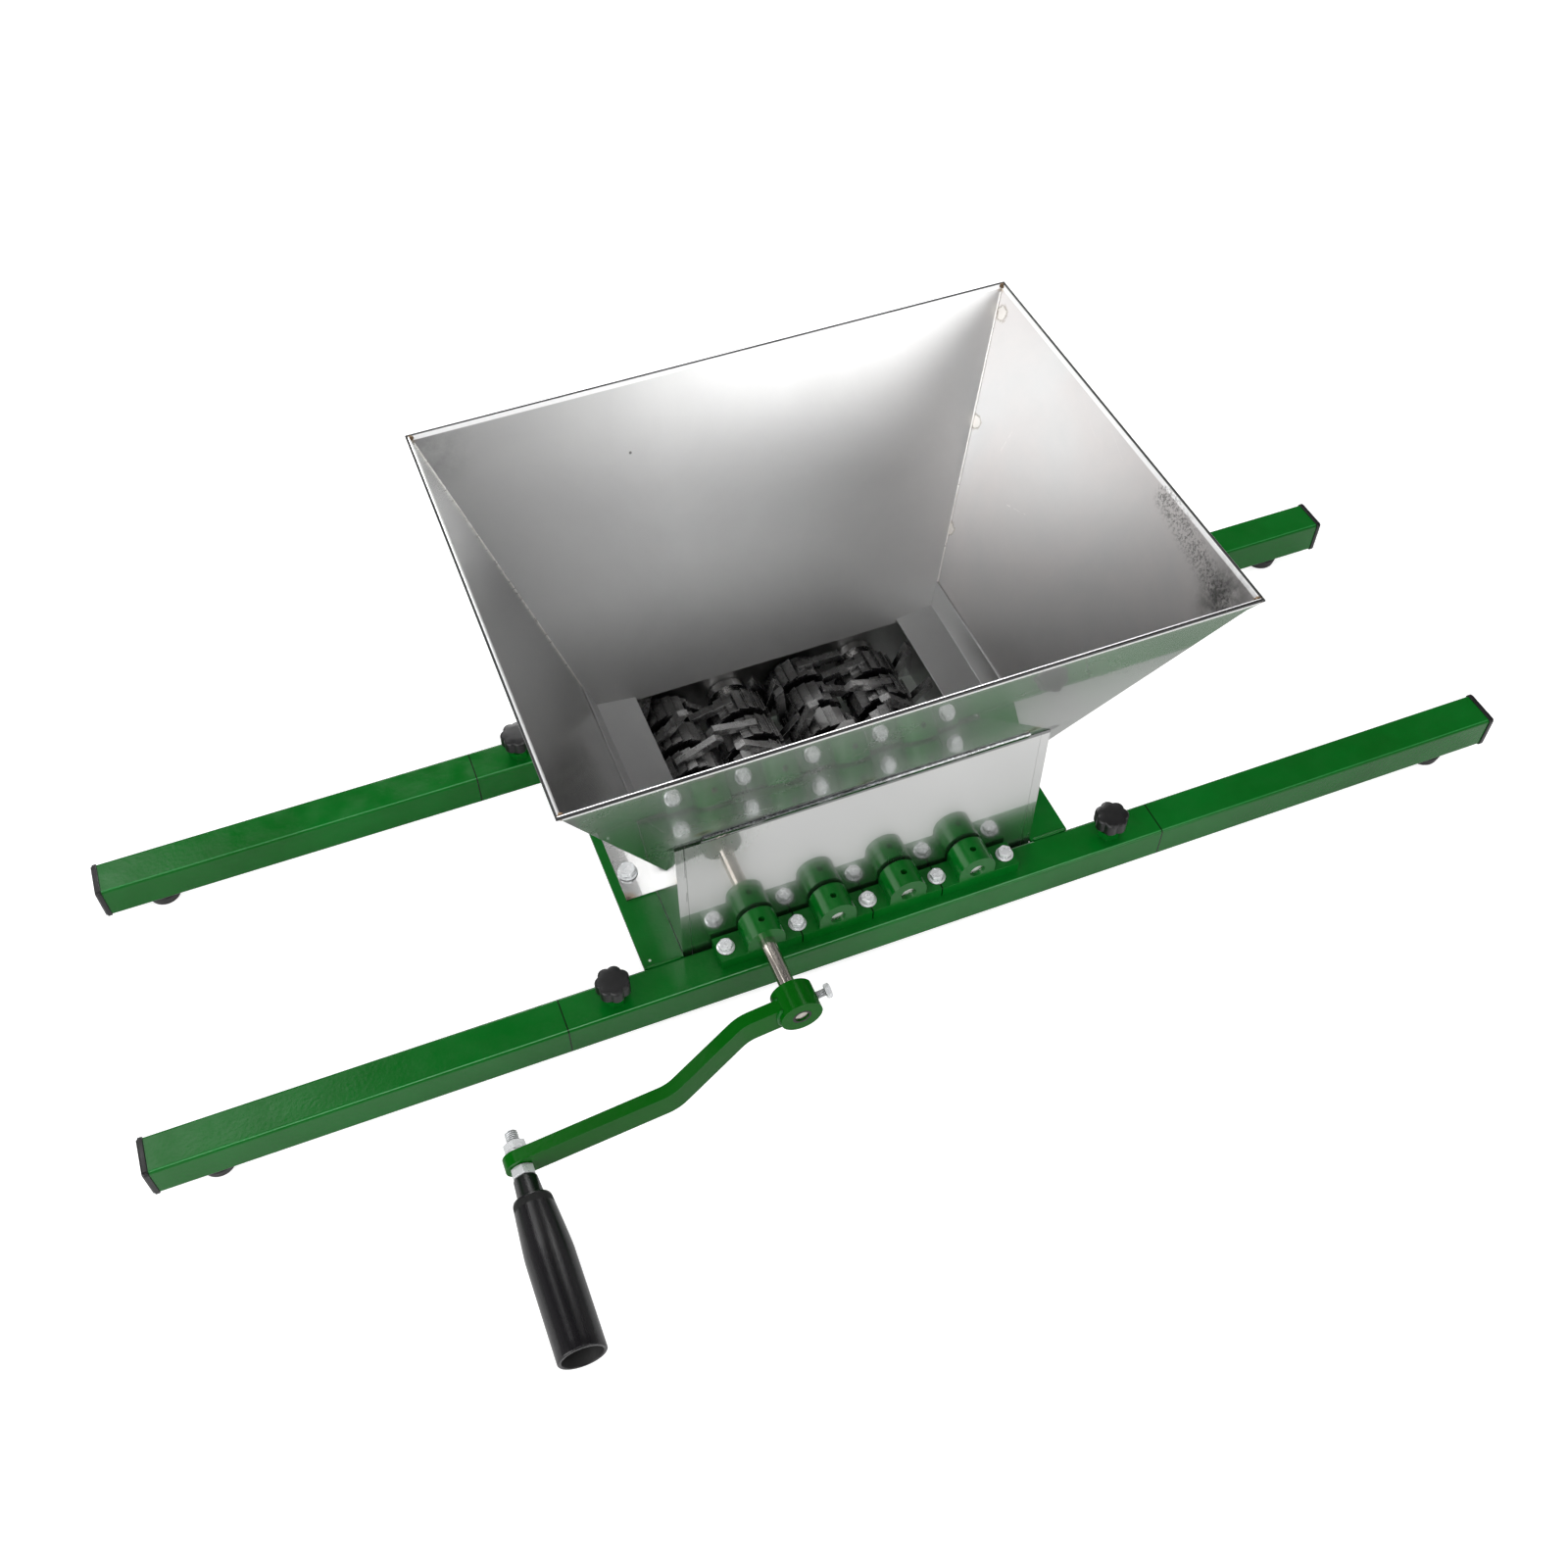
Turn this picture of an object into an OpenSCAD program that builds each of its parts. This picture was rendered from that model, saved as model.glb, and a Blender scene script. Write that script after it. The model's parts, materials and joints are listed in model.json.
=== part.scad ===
// Hand cranked apple scratter: a steel frame that rests across a tub, a sheet
// metal hopper and chute, and four geared rollers with clawed cutter discs.
// X runs along the rails, the crank is at the front (-Y), Z is up.

/* [Rails] */
// Width and height of the square rail tube
rail_w = 25; // [23:0.5:28]
// Wall of the rail tube
rail_wall = 1.5; // [1.2:0.1:1.8]
// Outer corner radius of the rail tube
rail_corner = 2; // [1.8:0.1:2.5]
// Front face of one rail to the front face of the other
rail_pitch = 208.5; // [200:0.5:230]
// Length of the fixed middle tube of a rail
mid_len = 404; // [390:1:460]
// Length of a sliding rail end, from its seam to its cap
ext_len = 255.5; // [200:0.5:300]
// Gap at the seam when a rail end is pushed home
seam_gap = 0.5; // [0.3:0.1:1]
// How far a rail end slides out
slide_travel = 60; // [30:1:65]
// Wall of the inner sleeve
sleeve_wall = 1.5; // [1.2:0.1:2]
// Clearance round the inner sleeve
sleeve_fit = 0.2; // [0.1:0.05:0.3]
// Length of the sleeve that is held inside the sliding end
sleeve_hold = 60; // [40:1:80]

/* [Cross plates] */
// Width of the flat cross plate beside the chute
plate_w = 25.7; // [24:0.1:30]
// Thickness of the cross plate
plate_t = 3; // [2:0.1:4]
// Gap between the cross plate and the chute
plate_gap = 0.3; // [0.2:0.05:0.5]

/* [Chute] */
// Outside width of the chute, along the rails
chute_w = 239; // [236:0.5:250]
// Outside depth of the chute, between the rails
chute_d = 180; // [176:0.5:181]
// Height of the chute's side walls above the rails
chute_side_h = 60.6; // [57:0.1:70]
// Height of the chute's front wall above the rails
chute_front_h = 110.6; // [95:0.1:125]
// Thickness of the stainless sheet
sheet = 1.2; // [0.8:0.1:1.5]
// Width of the side walls' corner returns
corner_return = 6; // [5:0.1:8]
// Length of the lip along the top of the chute's front wall
lip_len = 7; // [5:0.1:9]
// Plain length of the wall beside each end of the lip
lip_end = 10; // [4:0.5:20]
// Reach of the mounting tab from the chute
tab_w = 20.2; // [19.6:0.1:24]
// Length of the mounting tab
tab_len = 80; // [64:1:100]
// Thickness of the mounting tab
tab_t = 1.5; // [1.2:0.1:2]
// Distance of the tab's bolts from the chute
tab_bolt_in = 12.9; // [12:0.1:13]
// Distance between the two bolts of a tab
tab_bolt_pitch = 40; // [30:0.5:46]

/* [Hopper] */
// Outside length of the hopper's rim
rim_w = 386; // [350:1:400]
// Outside depth of the hopper's rim
rim_d = 301; // [280:1:320]
// Height of the hopper's rim above the rails
rim_h = 249.3; // [230:0.1:270]
// Depth of the hem that is folded outwards along the rim
hem_h = 8; // [5:0.5:12]

/* [Guard plates] */
// Reach of a guard plate over the rollers
guard_reach = 26.9; // [20:0.1:32]
// Drop of a guard plate towards its free edge
guard_drop = 2.6; // [1:0.1:3]
// Height of the guard plate's fold above the hopper's lower edge
guard_fold_h = 5; // [4.6:0.1:8]
// Height of the welding flange above the fold
guard_flange_h = 14.5; // [10:0.1:18]

/* [Bearings] */
// Distance between neighbouring shafts
shaft_pitch = 47.5; // [47.4:0.1:48.5]
// Height of the shafts above the rails
shaft_h = 15; // [14:0.1:18]
// Depth of a bearing block
bear_d = 18; // [16:0.1:20]
// Width of a bearing's round boss
boss_w = 24.6; // [22:0.1:26]
// Thickness of the bearing's flange
bear_flange_t = 8.7; // [7:0.1:10]
// Overhang of the end bearings past their outer bolt
bear_end = 6; // [5.8:0.1:8]
// Gap between neighbouring bearing blocks
bear_split = 0.6; // [0.2:0.1:0.8]
// Diameter of the oil hole
oil_d = 4; // [3:0.1:5]
// Radial clearance of a shaft in its bearing
run_fit = 0.05; // [0.02:0.01:0.08]

/* [Rollers] */
// Diameter of the shaft's journals
journal_d = 10; // [9:0.1:11]
// Width across flats of the hexagonal shaft
hex_af = 13; // [12:0.1:13.4]
// Distance between the cutter discs of one roller
cut_pitch = 24; // [23.4:0.1:24.2]
// Cutter discs on one roller
cut_count = 6; // [3:1:6]
// Width of a cutter disc's toothed ring
ring_len = 17; // [14:0.1:17.4]
// Diameter of the toothed ring
ring_d = 42; // [36:0.1:44]
// Teeth around the ring
ring_teeth = 18; // [12:1:24]
// Height of one ratchet tooth
tooth_h = 2; // [1:0.1:2.5]
// Thickness of the claws
claw_t = 5; // [3.5:0.1:5.4]
// Diameter swept by the claws' tips
claw_tip_d = 76; // [68:0.1:76.4]
// Claws on one disc
claw_count = 3; // [2:1:4]
// Distance of a claw's straight outer edge from the shaft's middle
claw_edge = 22.4; // [20:0.1:24]
// Thickness of a claw's finger across its length
finger_t = 5.8; // [3:0.1:7]
// Diameter of the disc's hub
cut_hub_d = 18; // [17.4:0.1:18.4]
// Diameter of the collar at a shaft's rear end
collar_d = 30; // [24:0.1:34]
// Thickness of the collar at a shaft's rear end
collar_t = 6; // [4:0.1:7]

/* [Gears] */
// Teeth on each gear
gear_teeth = 19; // [17:2:23]
// Face width of a gear
gear_face = 12; // [8:0.1:14]
// Play between meshing teeth
backlash = 0.35; // [0.3:0.05:0.5]

/* [Crank] */
// Diameter of the crank's hub
crank_hub_d = 26.5; // [24:0.1:30]
// Length of the crank's hub
crank_hub_len = 18.5; // [16:0.1:24]
// Front face of the hub in front of the rail
crank_reach = 49.75; // [44:0.05:60]
// Length of the crank arm from the shaft to the handle
arm_len = 184; // [150:1:200]
// Width of the crank arm's flat bar
arm_w = 19; // [17:0.1:22]
// Thickness of the crank arm's flat bar
arm_t = 8; // [6:0.1:9]
// Step of the joggle in the arm
joggle = 22.5; // [18:0.1:28]
// Start of the joggle from the shaft
joggle_from = 36; // [30:0.5:44]
// Length of the joggle along the arm
joggle_len = 53; // [44:0.5:64]
// Inner radius of the arm's two bends
arm_bend_r = 25; // [8:0.5:30]
// Angle of the resting crank below level
rest_angle = 8.65; // [4:0.05:9]

/* [Handle] */
// Diameter of the handle's bolt
stud_d = 8; // [7:0.1:9]
// Diameter of the grip at its open end
grip_d = 28.6; // [26:0.1:32]
// Largest diameter of the grip
grip_bulge_d = 28.8; // [26:0.1:33]
// Diameter of the grip's shoulder
grip_shoulder_d = 23.1; // [21:0.1:25]
// Diameter of the grip's neck
grip_neck_d = 14.4; // [13:0.1:16]
// Diameter of the neck where it meets the shoulder
grip_neck_root_d = 16.1; // [15:0.1:18]
// Length of the grip
grip_len = 109.5; // [96:0.5:125]
// Length of the grip's neck
grip_neck_len = 13.5; // [10:0.1:16]
// Length of the taper behind the shoulder
grip_taper_len = 32.5; // [24:0.1:40]
// Depth of the hollow in the grip's end
grip_hollow = 36; // [26:0.5:44]
// Wall of the grip at its open end
grip_wall = 2.3; // [1.8:0.1:3]

/* [Knobs] */
// Diameter over the knob's lobes
knob_d = 22; // [18:0.1:26]
// Lobes of the knob
knob_lobes = 7; // [5:1:8]
// Height of the lobed head
knob_h = 10; // [8:0.1:13]
// Diameter of the knob's collar
knob_collar_d = 12.4; // [10:0.1:14]
// Height of the knob's collar
knob_collar_h = 4.6; // [3:0.1:6]
// Distance of the knob from the seam
knob_in = 33.1; // [28:0.1:40]
// Diameter of the knob's screw
knob_screw_d = 6; // [5:0.1:7]
// Height of the welded nut under the knob
weld_nut_h = 5.5; // [4:0.1:7]

/* [Feet and end caps] */
// Diameter of a rubber foot
foot_d = 24; // [20:0.1:25]
// Height of a rubber foot
foot_h = 10; // [9:0.1:16]
// Distance of the foot from the end of the rail
foot_in = 38; // [30:0.5:50]
// Diameter of the foot's push-in stem
foot_stem_d = 8; // [6:0.1:9]
// Thickness of an end cap
cap_t = 4; // [3:0.1:5]
// Overhang of an end cap past the tube
cap_lip = 0.8; // [0.5:0.1:1.2]
// Length of the end cap's plug
cap_plug_len = 13; // [8:0.1:16]

/* [Hidden] */
$fn = 48;

// Overrun of every cut
over = 2;
// Small gaps: parts that seat on each other, loose holes, sheet seams
seat_gap = 0.1;
hole_fit = 0.25;
seam_fit = 0.1;
// Bolts of the bearings: size, head and flange
bolt_d = 5;
bolt_af = 8;
bolt_head_h = 4.6;
bolt_flange_d = 11.4;
bolt_flange_t = 1.2;
bolt_tip = 5;
// Bolts of the chute's tabs
tab_bolt_d = 6;
tab_bolt_af = 10;
tab_bolt_head_h = 5.2;
tab_bolt_flange_d = 13.2;
tab_bolt_flange_t = 1.4;
tab_nut_h = 5;
tab_bolt_tip = 3;
// Chute: wall round a shaft, washers
shaft_hole_fit = 0.6;
washer_d = 16;
// Rollers: gap at each end of a shaft, gap between neighbouring discs
end_gap = 0.4;
stack_gap = 0.1;
hex_fit = 0.05;
journal_shy = 2;
// Angle of the first claw on the rear disc, and its turn from disc to disc
roller_phase = [114, 156, 156.4, 151.7];
roller_turn = [-26.5, -22.6, -24.6, -26];
roller_hand = [-1, 1, -1, 1];
// Gear tooth form
pressure_angle = 20;
root_share = 1.15;
tip_share = 0.95;
flank_steps = 4;
bend_steps = 6;
gear_hub_d = 18;
// Crank and handle
arm_front = 4;
screw_d = 5;
screw_head_af = 8;
screw_head_h = 3.6;
screw_out = 5.5;
screw_seat = 1;
shaft_shy = 1;
nut_af = 13;
nut_h = 6.5;
front_nut_h = 6.9;
washer_handle_d = 16;
washer_handle_t = 1.6;
stud_past = 8.1;
bolt_head_d = 14;
grip_bolt_head_h = 5;
grip_gap = 0.3;
// Knob, nut and foot details
knob_gap = 0.4;
knob_dome_share = 0.28;
lobe_share = 0.24;
weld_nut_af = 13;
foot_taper = 1.5;
foot_bulb_d = 10;
foot_bulb_h = 3;
foot_round = 1.5;
foot_recess_d = 9;
foot_recess_h = 3;
cap_round = 2.6;
cap_face_round = 1;
cap_plug_fit = 0.1;
cap_plug_wall = 2;
sleeve_margin = 4;

// Derived places
mid_y = (rail_pitch + rail_w) / 2;
chute_y0 = mid_y - chute_d / 2;
chute_y1 = mid_y + chute_d / 2;
tube_in = rail_w - 2 * rail_wall;
sleeve_w = tube_in - 2 * sleeve_fit;
sleeve_len = knob_in + knob_screw_d / 2 + sleeve_margin + slide_travel;
seam_x = mid_len / 2;
end_x = seam_x + seam_gap + ext_len;
knob_x = seam_x - knob_in;
foot_x = end_x - foot_in;
hem_z = rim_h - sheet;
slope_x = ((rim_w - chute_w) / 2 - sheet) / (hem_z - chute_side_h);
slope_y = ((rim_d - chute_d) / 2 - sheet) / (hem_z - chute_front_h);
shaft_x = [for (i = [0:3]) (i - 1.5) * shaft_pitch];
bolt_x = [for (i = [0:4]) (i - 2) * shaft_pitch];
shaft_y0 = chute_y0 + sheet + end_gap;
shaft_y1 = chute_y1 - sheet - end_gap;
journal_r = journal_d / 2;
bore_r = journal_r + run_fit;
hex_r = hex_af / 2 / cos(30);
disc_y0 = shaft_y1 - cut_pitch / 2;
gear_y0 = shaft_y0 + seat_gap;
grip_y = crank_y_outer() - arm_t - front_nut_h - grip_gap;
grip_end = grip_y - grip_len;
stand_h = rail_w + foot_h;
back_y = mid_y + rim_d / 2;
origin_y = (back_y + grip_end) / 2;
claw_tip_r = claw_tip_d / 2;
ring_r = ring_d / 2;
cut_hub_r = cut_hub_d / 2;

green = [0.10, 0.33, 0.15];
steel = [0.72, 0.72, 0.70];
zinc = [0.80, 0.80, 0.78];
cast = [0.27, 0.27, 0.28];
black = [0.08, 0.08, 0.08];

// Back faces of the crank arm's inner and outer run
function crank_y_inner() = -(crank_reach - arm_front - arm_t);
function crank_y_outer() = crank_y_inner() - joggle;

// The measuring frame has the rail's top front edge at zero height and depth
module place() translate([0, -origin_y, stand_h]) children();

// Profiles and runs along one axis
module round_square(w, r) {
  union() {
    square([w - 2 * r, w], center = true);
    square([w, w - 2 * r], center = true);
    for (x = [-1, 1], y = [-1, 1])
      translate([x * (w / 2 - r), y * (w / 2 - r)]) circle(r, $fn = 24);
  }
}
module along_x(from, to) translate([from, 0, 0]) rotate([90, 0, 90])
  linear_extrude(to - from) children();
module along_y(from, to) translate([0, to, 0]) rotate([90, 0, 0])
  linear_extrude(to - from) children();
module box(lo, hi) translate(lo) cube(hi - lo);
module bar_y(r, from, to) translate([0, to, 0]) rotate([90, 0, 0])
  cylinder(r = r, h = to - from);
module hexagon(af) circle(r = af / 2 / cos(30), $fn = 6);
module rail_line(rear) translate([0, (rear ? rail_pitch : 0) + rail_w / 2, -rail_w / 2])
  children();

// Square tube with a nut welded over each clamping screw
module rail(rear) color(green) place() {
  bolt_line = rear ? rail_pitch + bear_d / 2 : rail_w - bear_d / 2;
  difference() {
    union() {
      rail_line(rear) along_x(-seam_x, seam_x) round_square(rail_w, rail_corner);
      for (s = [-1, 1]) rail_line(rear) translate([s * knob_x, 0, rail_w / 2 - rail_wall / 2])
        linear_extrude(weld_nut_h + rail_wall / 2) hexagon(weld_nut_af);
    }
    rail_line(rear) along_x(-seam_x - over, seam_x + over)
      round_square(tube_in, rail_corner - rail_wall + seat_gap);
    for (s = [-1, 1]) rail_line(rear) translate([s * knob_x, 0, 0])
      cylinder(r = knob_screw_d / 2 + run_fit, h = rail_w / 2 + weld_nut_h + over, $fn = 32);
    for (x = bolt_x) translate([x, bolt_line, -rail_w / 2])
      cylinder(r = bolt_d / 2 + hole_fit, h = rail_w / 2 + over, $fn = 32);
  }
}
module front_rail() rail(false);
module rear_rail() rail(true);

// Flat bar welded between the rails beside the chute
module cross_plate(s) color(green) place() {
  x0 = chute_w / 2 + plate_gap;
  difference() {
    mirror([s < 0 ? 1 : 0, 0, 0]) box([x0, rail_w, -plate_t], [x0 + plate_w, rail_pitch, 0]);
    for (k = [-1, 1])
      translate([s * (chute_w / 2 + tab_bolt_in), mid_y + k * tab_bolt_pitch / 2, -plate_t - over])
        cylinder(r = tab_bolt_d / 2 + hole_fit, h = plate_t + 2 * over, $fn = 32);
  }
}
module left_cross_plate() cross_plate(-1);
module right_cross_plate() cross_plate(1);

// Half lengths of the hopper's sheet at height z, grown by g
function half_x(z, g = 0) = chute_w / 2 + slope_x * (z - chute_side_h) + g * sqrt(1 + slope_x * slope_x);
function half_y(z, g = 0) = chute_d / 2 + slope_y * (z - chute_front_h) + g * sqrt(1 + slope_y * slope_y);
module taper_x(g, z0, z1) along_y(mid_y - rim_d, mid_y + rim_d)
  polygon([[-half_x(z0, g), z0], [half_x(z0, g), z0], [half_x(z1, g), z1], [-half_x(z1, g), z1]]);
module taper_y(g, z0, z1) translate([0, mid_y, 0]) along_x(-rim_w, rim_w)
  polygon([[-half_y(z0, g), z0], [half_y(z0, g), z0], [half_y(z1, g), z1], [-half_y(z1, g), z1]]);
module hopper_space(g, z0, z1) intersection() { taper_x(g, z0, z1); taper_y(g, z0, z1); }

// The hem is one sheet folded back on the wall, with a round edge of radius one sheet
lean_x = atan(slope_x);
lean_y = atan(slope_y);
low_x = hem_z - hem_h * cos(lean_x);
low_y = hem_z - hem_h * cos(lean_y);
function edge_arc(h, angles) = [for (a = angles) [h + sheet * cos(a), hem_z + sheet * sin(a)]];
function hem_section(inner, outer, low, edge, lean) = concat(
  [[inner, low], [outer, low], [outer + sheet * cos(lean), low - sheet * sin(lean)]],
  edge_arc(edge, [-lean, 0, 30, 60, 90, 120, 150, 180 - lean]));
function hem_limit(at_low, low, edge, lean) = let (side = concat([[at_low, low - sheet]],
  edge_arc(edge, [-lean, 0, 30, 60, 90]))) concat(side, [for (i = [len(side) - 1:-1:0]) [-side[i][0], side[i][1]]]);

// Front and rear hopper walls reach the corners, the side walls stand between
module hopper_end(s) color(steel) place() translate([0, mid_y, 0])
  mirror([0, s < 0 ? 1 : 0, 0]) union() {
    intersection() {
      along_x(-rim_w, rim_w) polygon([[half_y(chute_side_h), chute_side_h], [half_y(hem_z), hem_z],
        [half_y(hem_z, -sheet), hem_z], [half_y(chute_side_h, -sheet), chute_side_h]]);
      translate([0, -mid_y, 0]) taper_x(0, chute_side_h, hem_z);
    }
    intersection() {
      along_x(-rim_w, rim_w)
        polygon(hem_section(half_y(low_y, -sheet), half_y(low_y), low_y, half_y(hem_z), lean_y));
      along_y(0, rim_d)
        polygon(hem_limit(half_x(low_y) - hem_h, low_y, half_x(hem_z), lean_x));
    }
  }
module hopper_side(s) color(steel) place() mirror([s < 0 ? 1 : 0, 0, 0]) union() {
  intersection() {
    along_y(mid_y - rim_d, mid_y + rim_d)
      polygon([[half_x(chute_side_h), chute_side_h], [half_x(hem_z), hem_z],
        [half_x(hem_z, -sheet), hem_z], [half_x(chute_side_h, -sheet), chute_side_h]]);
    taper_y(-sheet, chute_side_h, hem_z);
  }
  intersection() {
    along_y(mid_y - rim_d, mid_y + rim_d)
      polygon(hem_section(half_x(low_x, -sheet), half_x(low_x), low_x, half_x(hem_z), lean_x));
    translate([0, mid_y, 0]) along_x(0, rim_w) polygon([
      [half_y(low_x) - hem_h, low_x - sheet], [half_y(hem_z, -sheet), hem_z - sheet],
      [half_y(hem_z, -sheet), rim_h], [-half_y(hem_z, -sheet), rim_h],
      [-half_y(hem_z, -sheet), hem_z - sheet], [hem_h - half_y(low_x), low_x - sheet]]);
  }
}
module hopper_front_wall() hopper_end(-1);
module hopper_rear_wall() hopper_end(1);
module hopper_left_wall() hopper_side(-1);
module hopper_right_wall() hopper_side(1);

// Bent plate that keeps fruit on the rollers, with a flange on the hopper wall
module guard_plate(s) color(steel) place() intersection() {
  fold_z = chute_side_h + guard_fold_h;
  top_z = fold_z + guard_flange_h;
  back = -sheet - seam_fit;
  low_z = fold_z - sheet;
  free_x = half_x(low_z, back) - guard_reach;
  mirror([s < 0 ? 1 : 0, 0, 0]) along_y(0, rail_pitch + rim_d)
    polygon([[half_x(top_z, back), top_z], [half_x(low_z, back), low_z],
      [free_x, low_z - guard_drop], [free_x, fold_z - guard_drop],
      [half_x(fold_z, back - sheet), fold_z], [half_x(top_z, back - sheet), top_z]]);
  taper_y(-sheet - seam_fit, chute_side_h - guard_drop - sheet, rim_h);
}
module left_guard_plate() guard_plate(-1);
module right_guard_plate() guard_plate(1);

module shaft_holes(y0, y1) for (x = shaft_x) translate([x, 0, shaft_h])
  bar_y(journal_r + shaft_hole_fit, y0, y1);

// Front or rear wall of the chute, with a lip that follows the hopper
module chute_end(rear) color(steel) place() translate([0, rear ? 2 * mid_y : 0, 0])
  mirror([0, rear ? 1 : 0, 0]) difference() {
    half = chute_w / 2 - corner_return - seam_fit;
    grow = sqrt(1 + slope_y * slope_y);
    low = chute_front_h - (seam_fit + sheet) * grow / slope_y;
    top = chute_front_h + lip_len / grow;
    union() {
      box([-half, chute_y0, -rail_w], [half, chute_y0 + sheet, chute_front_h]);
      along_x(-half + lip_end, half - lip_end) polygon([for (p = [[low, 0], [top, 0], [top, sheet], [low, sheet]])
        [mid_y - half_y(p[0], seam_fit + p[1]), p[0]]]);
    }
    hopper_space(seam_fit, chute_side_h - over, rim_h);
    shaft_holes(chute_y0 - over, chute_y0 + sheet + over);
  }
module chute_front_wall() chute_end(false);
module chute_rear_wall() chute_end(true);

// Side wall of the chute with its corner returns and its mounting tab
module chute_side(s) color(steel) place() mirror([s < 0 ? 1 : 0, 0, 0]) difference() {
  x1 = chute_w / 2;
  union() {
    box([x1 - sheet, chute_y0, -rail_w], [x1, chute_y1, chute_front_h]);
    for (y = [chute_y0, chute_y1 - sheet])
      box([x1 - corner_return, y, -rail_w], [x1, y + sheet, chute_front_h]);
    box([x1 - sheet / 2, mid_y - tab_len / 2, 0], [x1 + tab_w, mid_y + tab_len / 2, tab_t]);
  }
  hopper_space(seam_fit, chute_side_h, rim_h);
  for (k = [-1, 1]) translate([x1 + tab_bolt_in, mid_y + k * tab_bolt_pitch / 2, -over])
    cylinder(r = tab_bolt_d / 2 + hole_fit, h = tab_t + 2 * over, $fn = 32);
}
module chute_left_wall() chute_side(-1);
module chute_right_wall() chute_side(1);

// Flanged hex bolt, standing on zero with its shank below
module flange_bolt(d, af, head_h, flange_d, flange_t, shank) union() {
  cylinder(r = flange_d / 2, h = flange_t, $fn = 32);
  linear_extrude(head_h) hexagon(af);
  translate([0, 0, -shank]) cylinder(r = d / 2, h = shank + flange_t / 2, $fn = 32);
}

module chute_mount_bolts() color(zinc) place() for (s = [-1, 1], k = [-1, 1])
  translate([s * (chute_w / 2 + tab_bolt_in), mid_y + k * tab_bolt_pitch / 2, 0]) {
    translate([0, 0, tab_t]) flange_bolt(tab_bolt_d, tab_bolt_af, tab_bolt_head_h,
      tab_bolt_flange_d, tab_bolt_flange_t, tab_t + plate_t + tab_nut_h + tab_bolt_tip);
    difference() {
      translate([0, 0, -plate_t - tab_nut_h]) linear_extrude(tab_nut_h) hexagon(tab_bolt_af);
      translate([0, 0, -plate_t - tab_nut_h - over])
        cylinder(r = tab_bolt_d / 2 + run_fit, h = tab_nut_h + 2 * over, $fn = 32);
    }
  }

// Bearing block with a round boss; neighbours share the bolts between them
module bearing(i, rear) color(green) place() translate([0, rear ? 2 * mid_y : 0, 0])
  mirror([0, rear ? 1 : 0, 0]) difference() {
    y0 = rail_w - bear_d;
    x0 = i == 0 ? bolt_x[0] - bear_end : bolt_x[i] + bear_split / 2;
    x1 = i == 3 ? bolt_x[4] + bear_end : bolt_x[i + 1] - bear_split / 2;
    union() {
      box([x0, y0, 0], [x1, rail_w, bear_flange_t]);
      box([shaft_x[i] - boss_w / 2, y0, 0], [shaft_x[i] + boss_w / 2, rail_w, shaft_h]);
      translate([shaft_x[i], 0, shaft_h]) bar_y(boss_w / 2, y0, rail_w);
    }
    translate([shaft_x[i], 0, shaft_h]) bar_y(bore_r, y0 - over, rail_w + over);
    translate([shaft_x[i], rail_w - bear_d / 2, shaft_h])
      cylinder(r = oil_d / 2, h = boss_w, $fn = 32);
    for (x = bolt_x) translate([x, rail_w - bear_d / 2, -over])
      cylinder(r = bolt_d / 2 + hole_fit, h = bear_flange_t + 2 * over, $fn = 32);
  }
module front_bearing_1() bearing(0, false);
module front_bearing_2() bearing(1, false);
module front_bearing_3() bearing(2, false);
module front_bearing_4() bearing(3, false);
module rear_bearing_1() bearing(0, true);
module rear_bearing_2() bearing(1, true);
module rear_bearing_3() bearing(2, true);
module rear_bearing_4() bearing(3, true);

module bearing_bolts(rear) color(zinc) place() for (x = bolt_x)
  translate([x, rear ? rail_pitch + bear_d / 2 : rail_w - bear_d / 2, bear_flange_t])
    flange_bolt(bolt_d, bolt_af, bolt_head_h, bolt_flange_d, bolt_flange_t,
      bear_flange_t + rail_wall + bolt_tip);
module front_bearing_bolts() bearing_bolts(false);
module rear_bearing_bolts() bearing_bolts(true);

// Rings that fill the gap between a bearing and the chute
module thrust_washers() color(zinc) place() for (x = shaft_x, y = [rail_w, chute_y1])
  translate([x, 0, shaft_h]) difference() {
    bar_y(washer_d / 2, y + seat_gap, y + chute_y0 - rail_w - seat_gap);
    bar_y(journal_r + hole_fit, y - over, y + chute_y0 - rail_w + over);
  }

// Hexagonal shaft with turned journals; the drive shaft runs on to the crank
module shaft(i) color(steel) place() translate([shaft_x[i], 0, shaft_h]) union() {
  front = i == 0 ? -(crank_reach - shaft_shy) : rail_w - bear_d + journal_shy;
  along_y(shaft_y0, shaft_y1) hexagon(hex_af);
  bar_y(journal_r, front, shaft_y0 + over);
  bar_y(journal_r, shaft_y1 - over, rail_pitch + bear_d - journal_shy);
  if (roller_hand[i] > 0) {
    bar_y(cut_hub_d / 2, disc_y0 + seat_gap, shaft_y1);
    bar_y(collar_d / 2, shaft_y1 - collar_t, shaft_y1);
  }
}
module drive_shaft() shaft(0);
module second_shaft() shaft(1);
module third_shaft() shaft(2);
module fourth_shaft() shaft(3);

// Outline of one claw: a straight finger that leaves the ring along a tangent and
// ends in a flat face on the swept circle, whose leading corner is at angle zero
claw_sweep = acos(claw_edge / claw_tip_r);
claw_face_turn = acos((claw_edge - finger_t) / claw_tip_r) - claw_sweep;
claw_points = [claw_edge * [cos(claw_sweep), -sin(claw_sweep)], [claw_tip_r, 0],
  claw_tip_r * [cos(claw_face_turn), sin(claw_face_turn)],
  (claw_edge - finger_t) * [cos(claw_sweep), -sin(claw_sweep)]];
ring_points = [for (k = [0:ring_teeth - 1], e = [0, 1])
  (ring_r - (e == 0 ? tooth_h : 0)) * [cos((k + e) * 360 / ring_teeth),
    sin((k + e) * 360 / ring_teeth)]];

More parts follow.
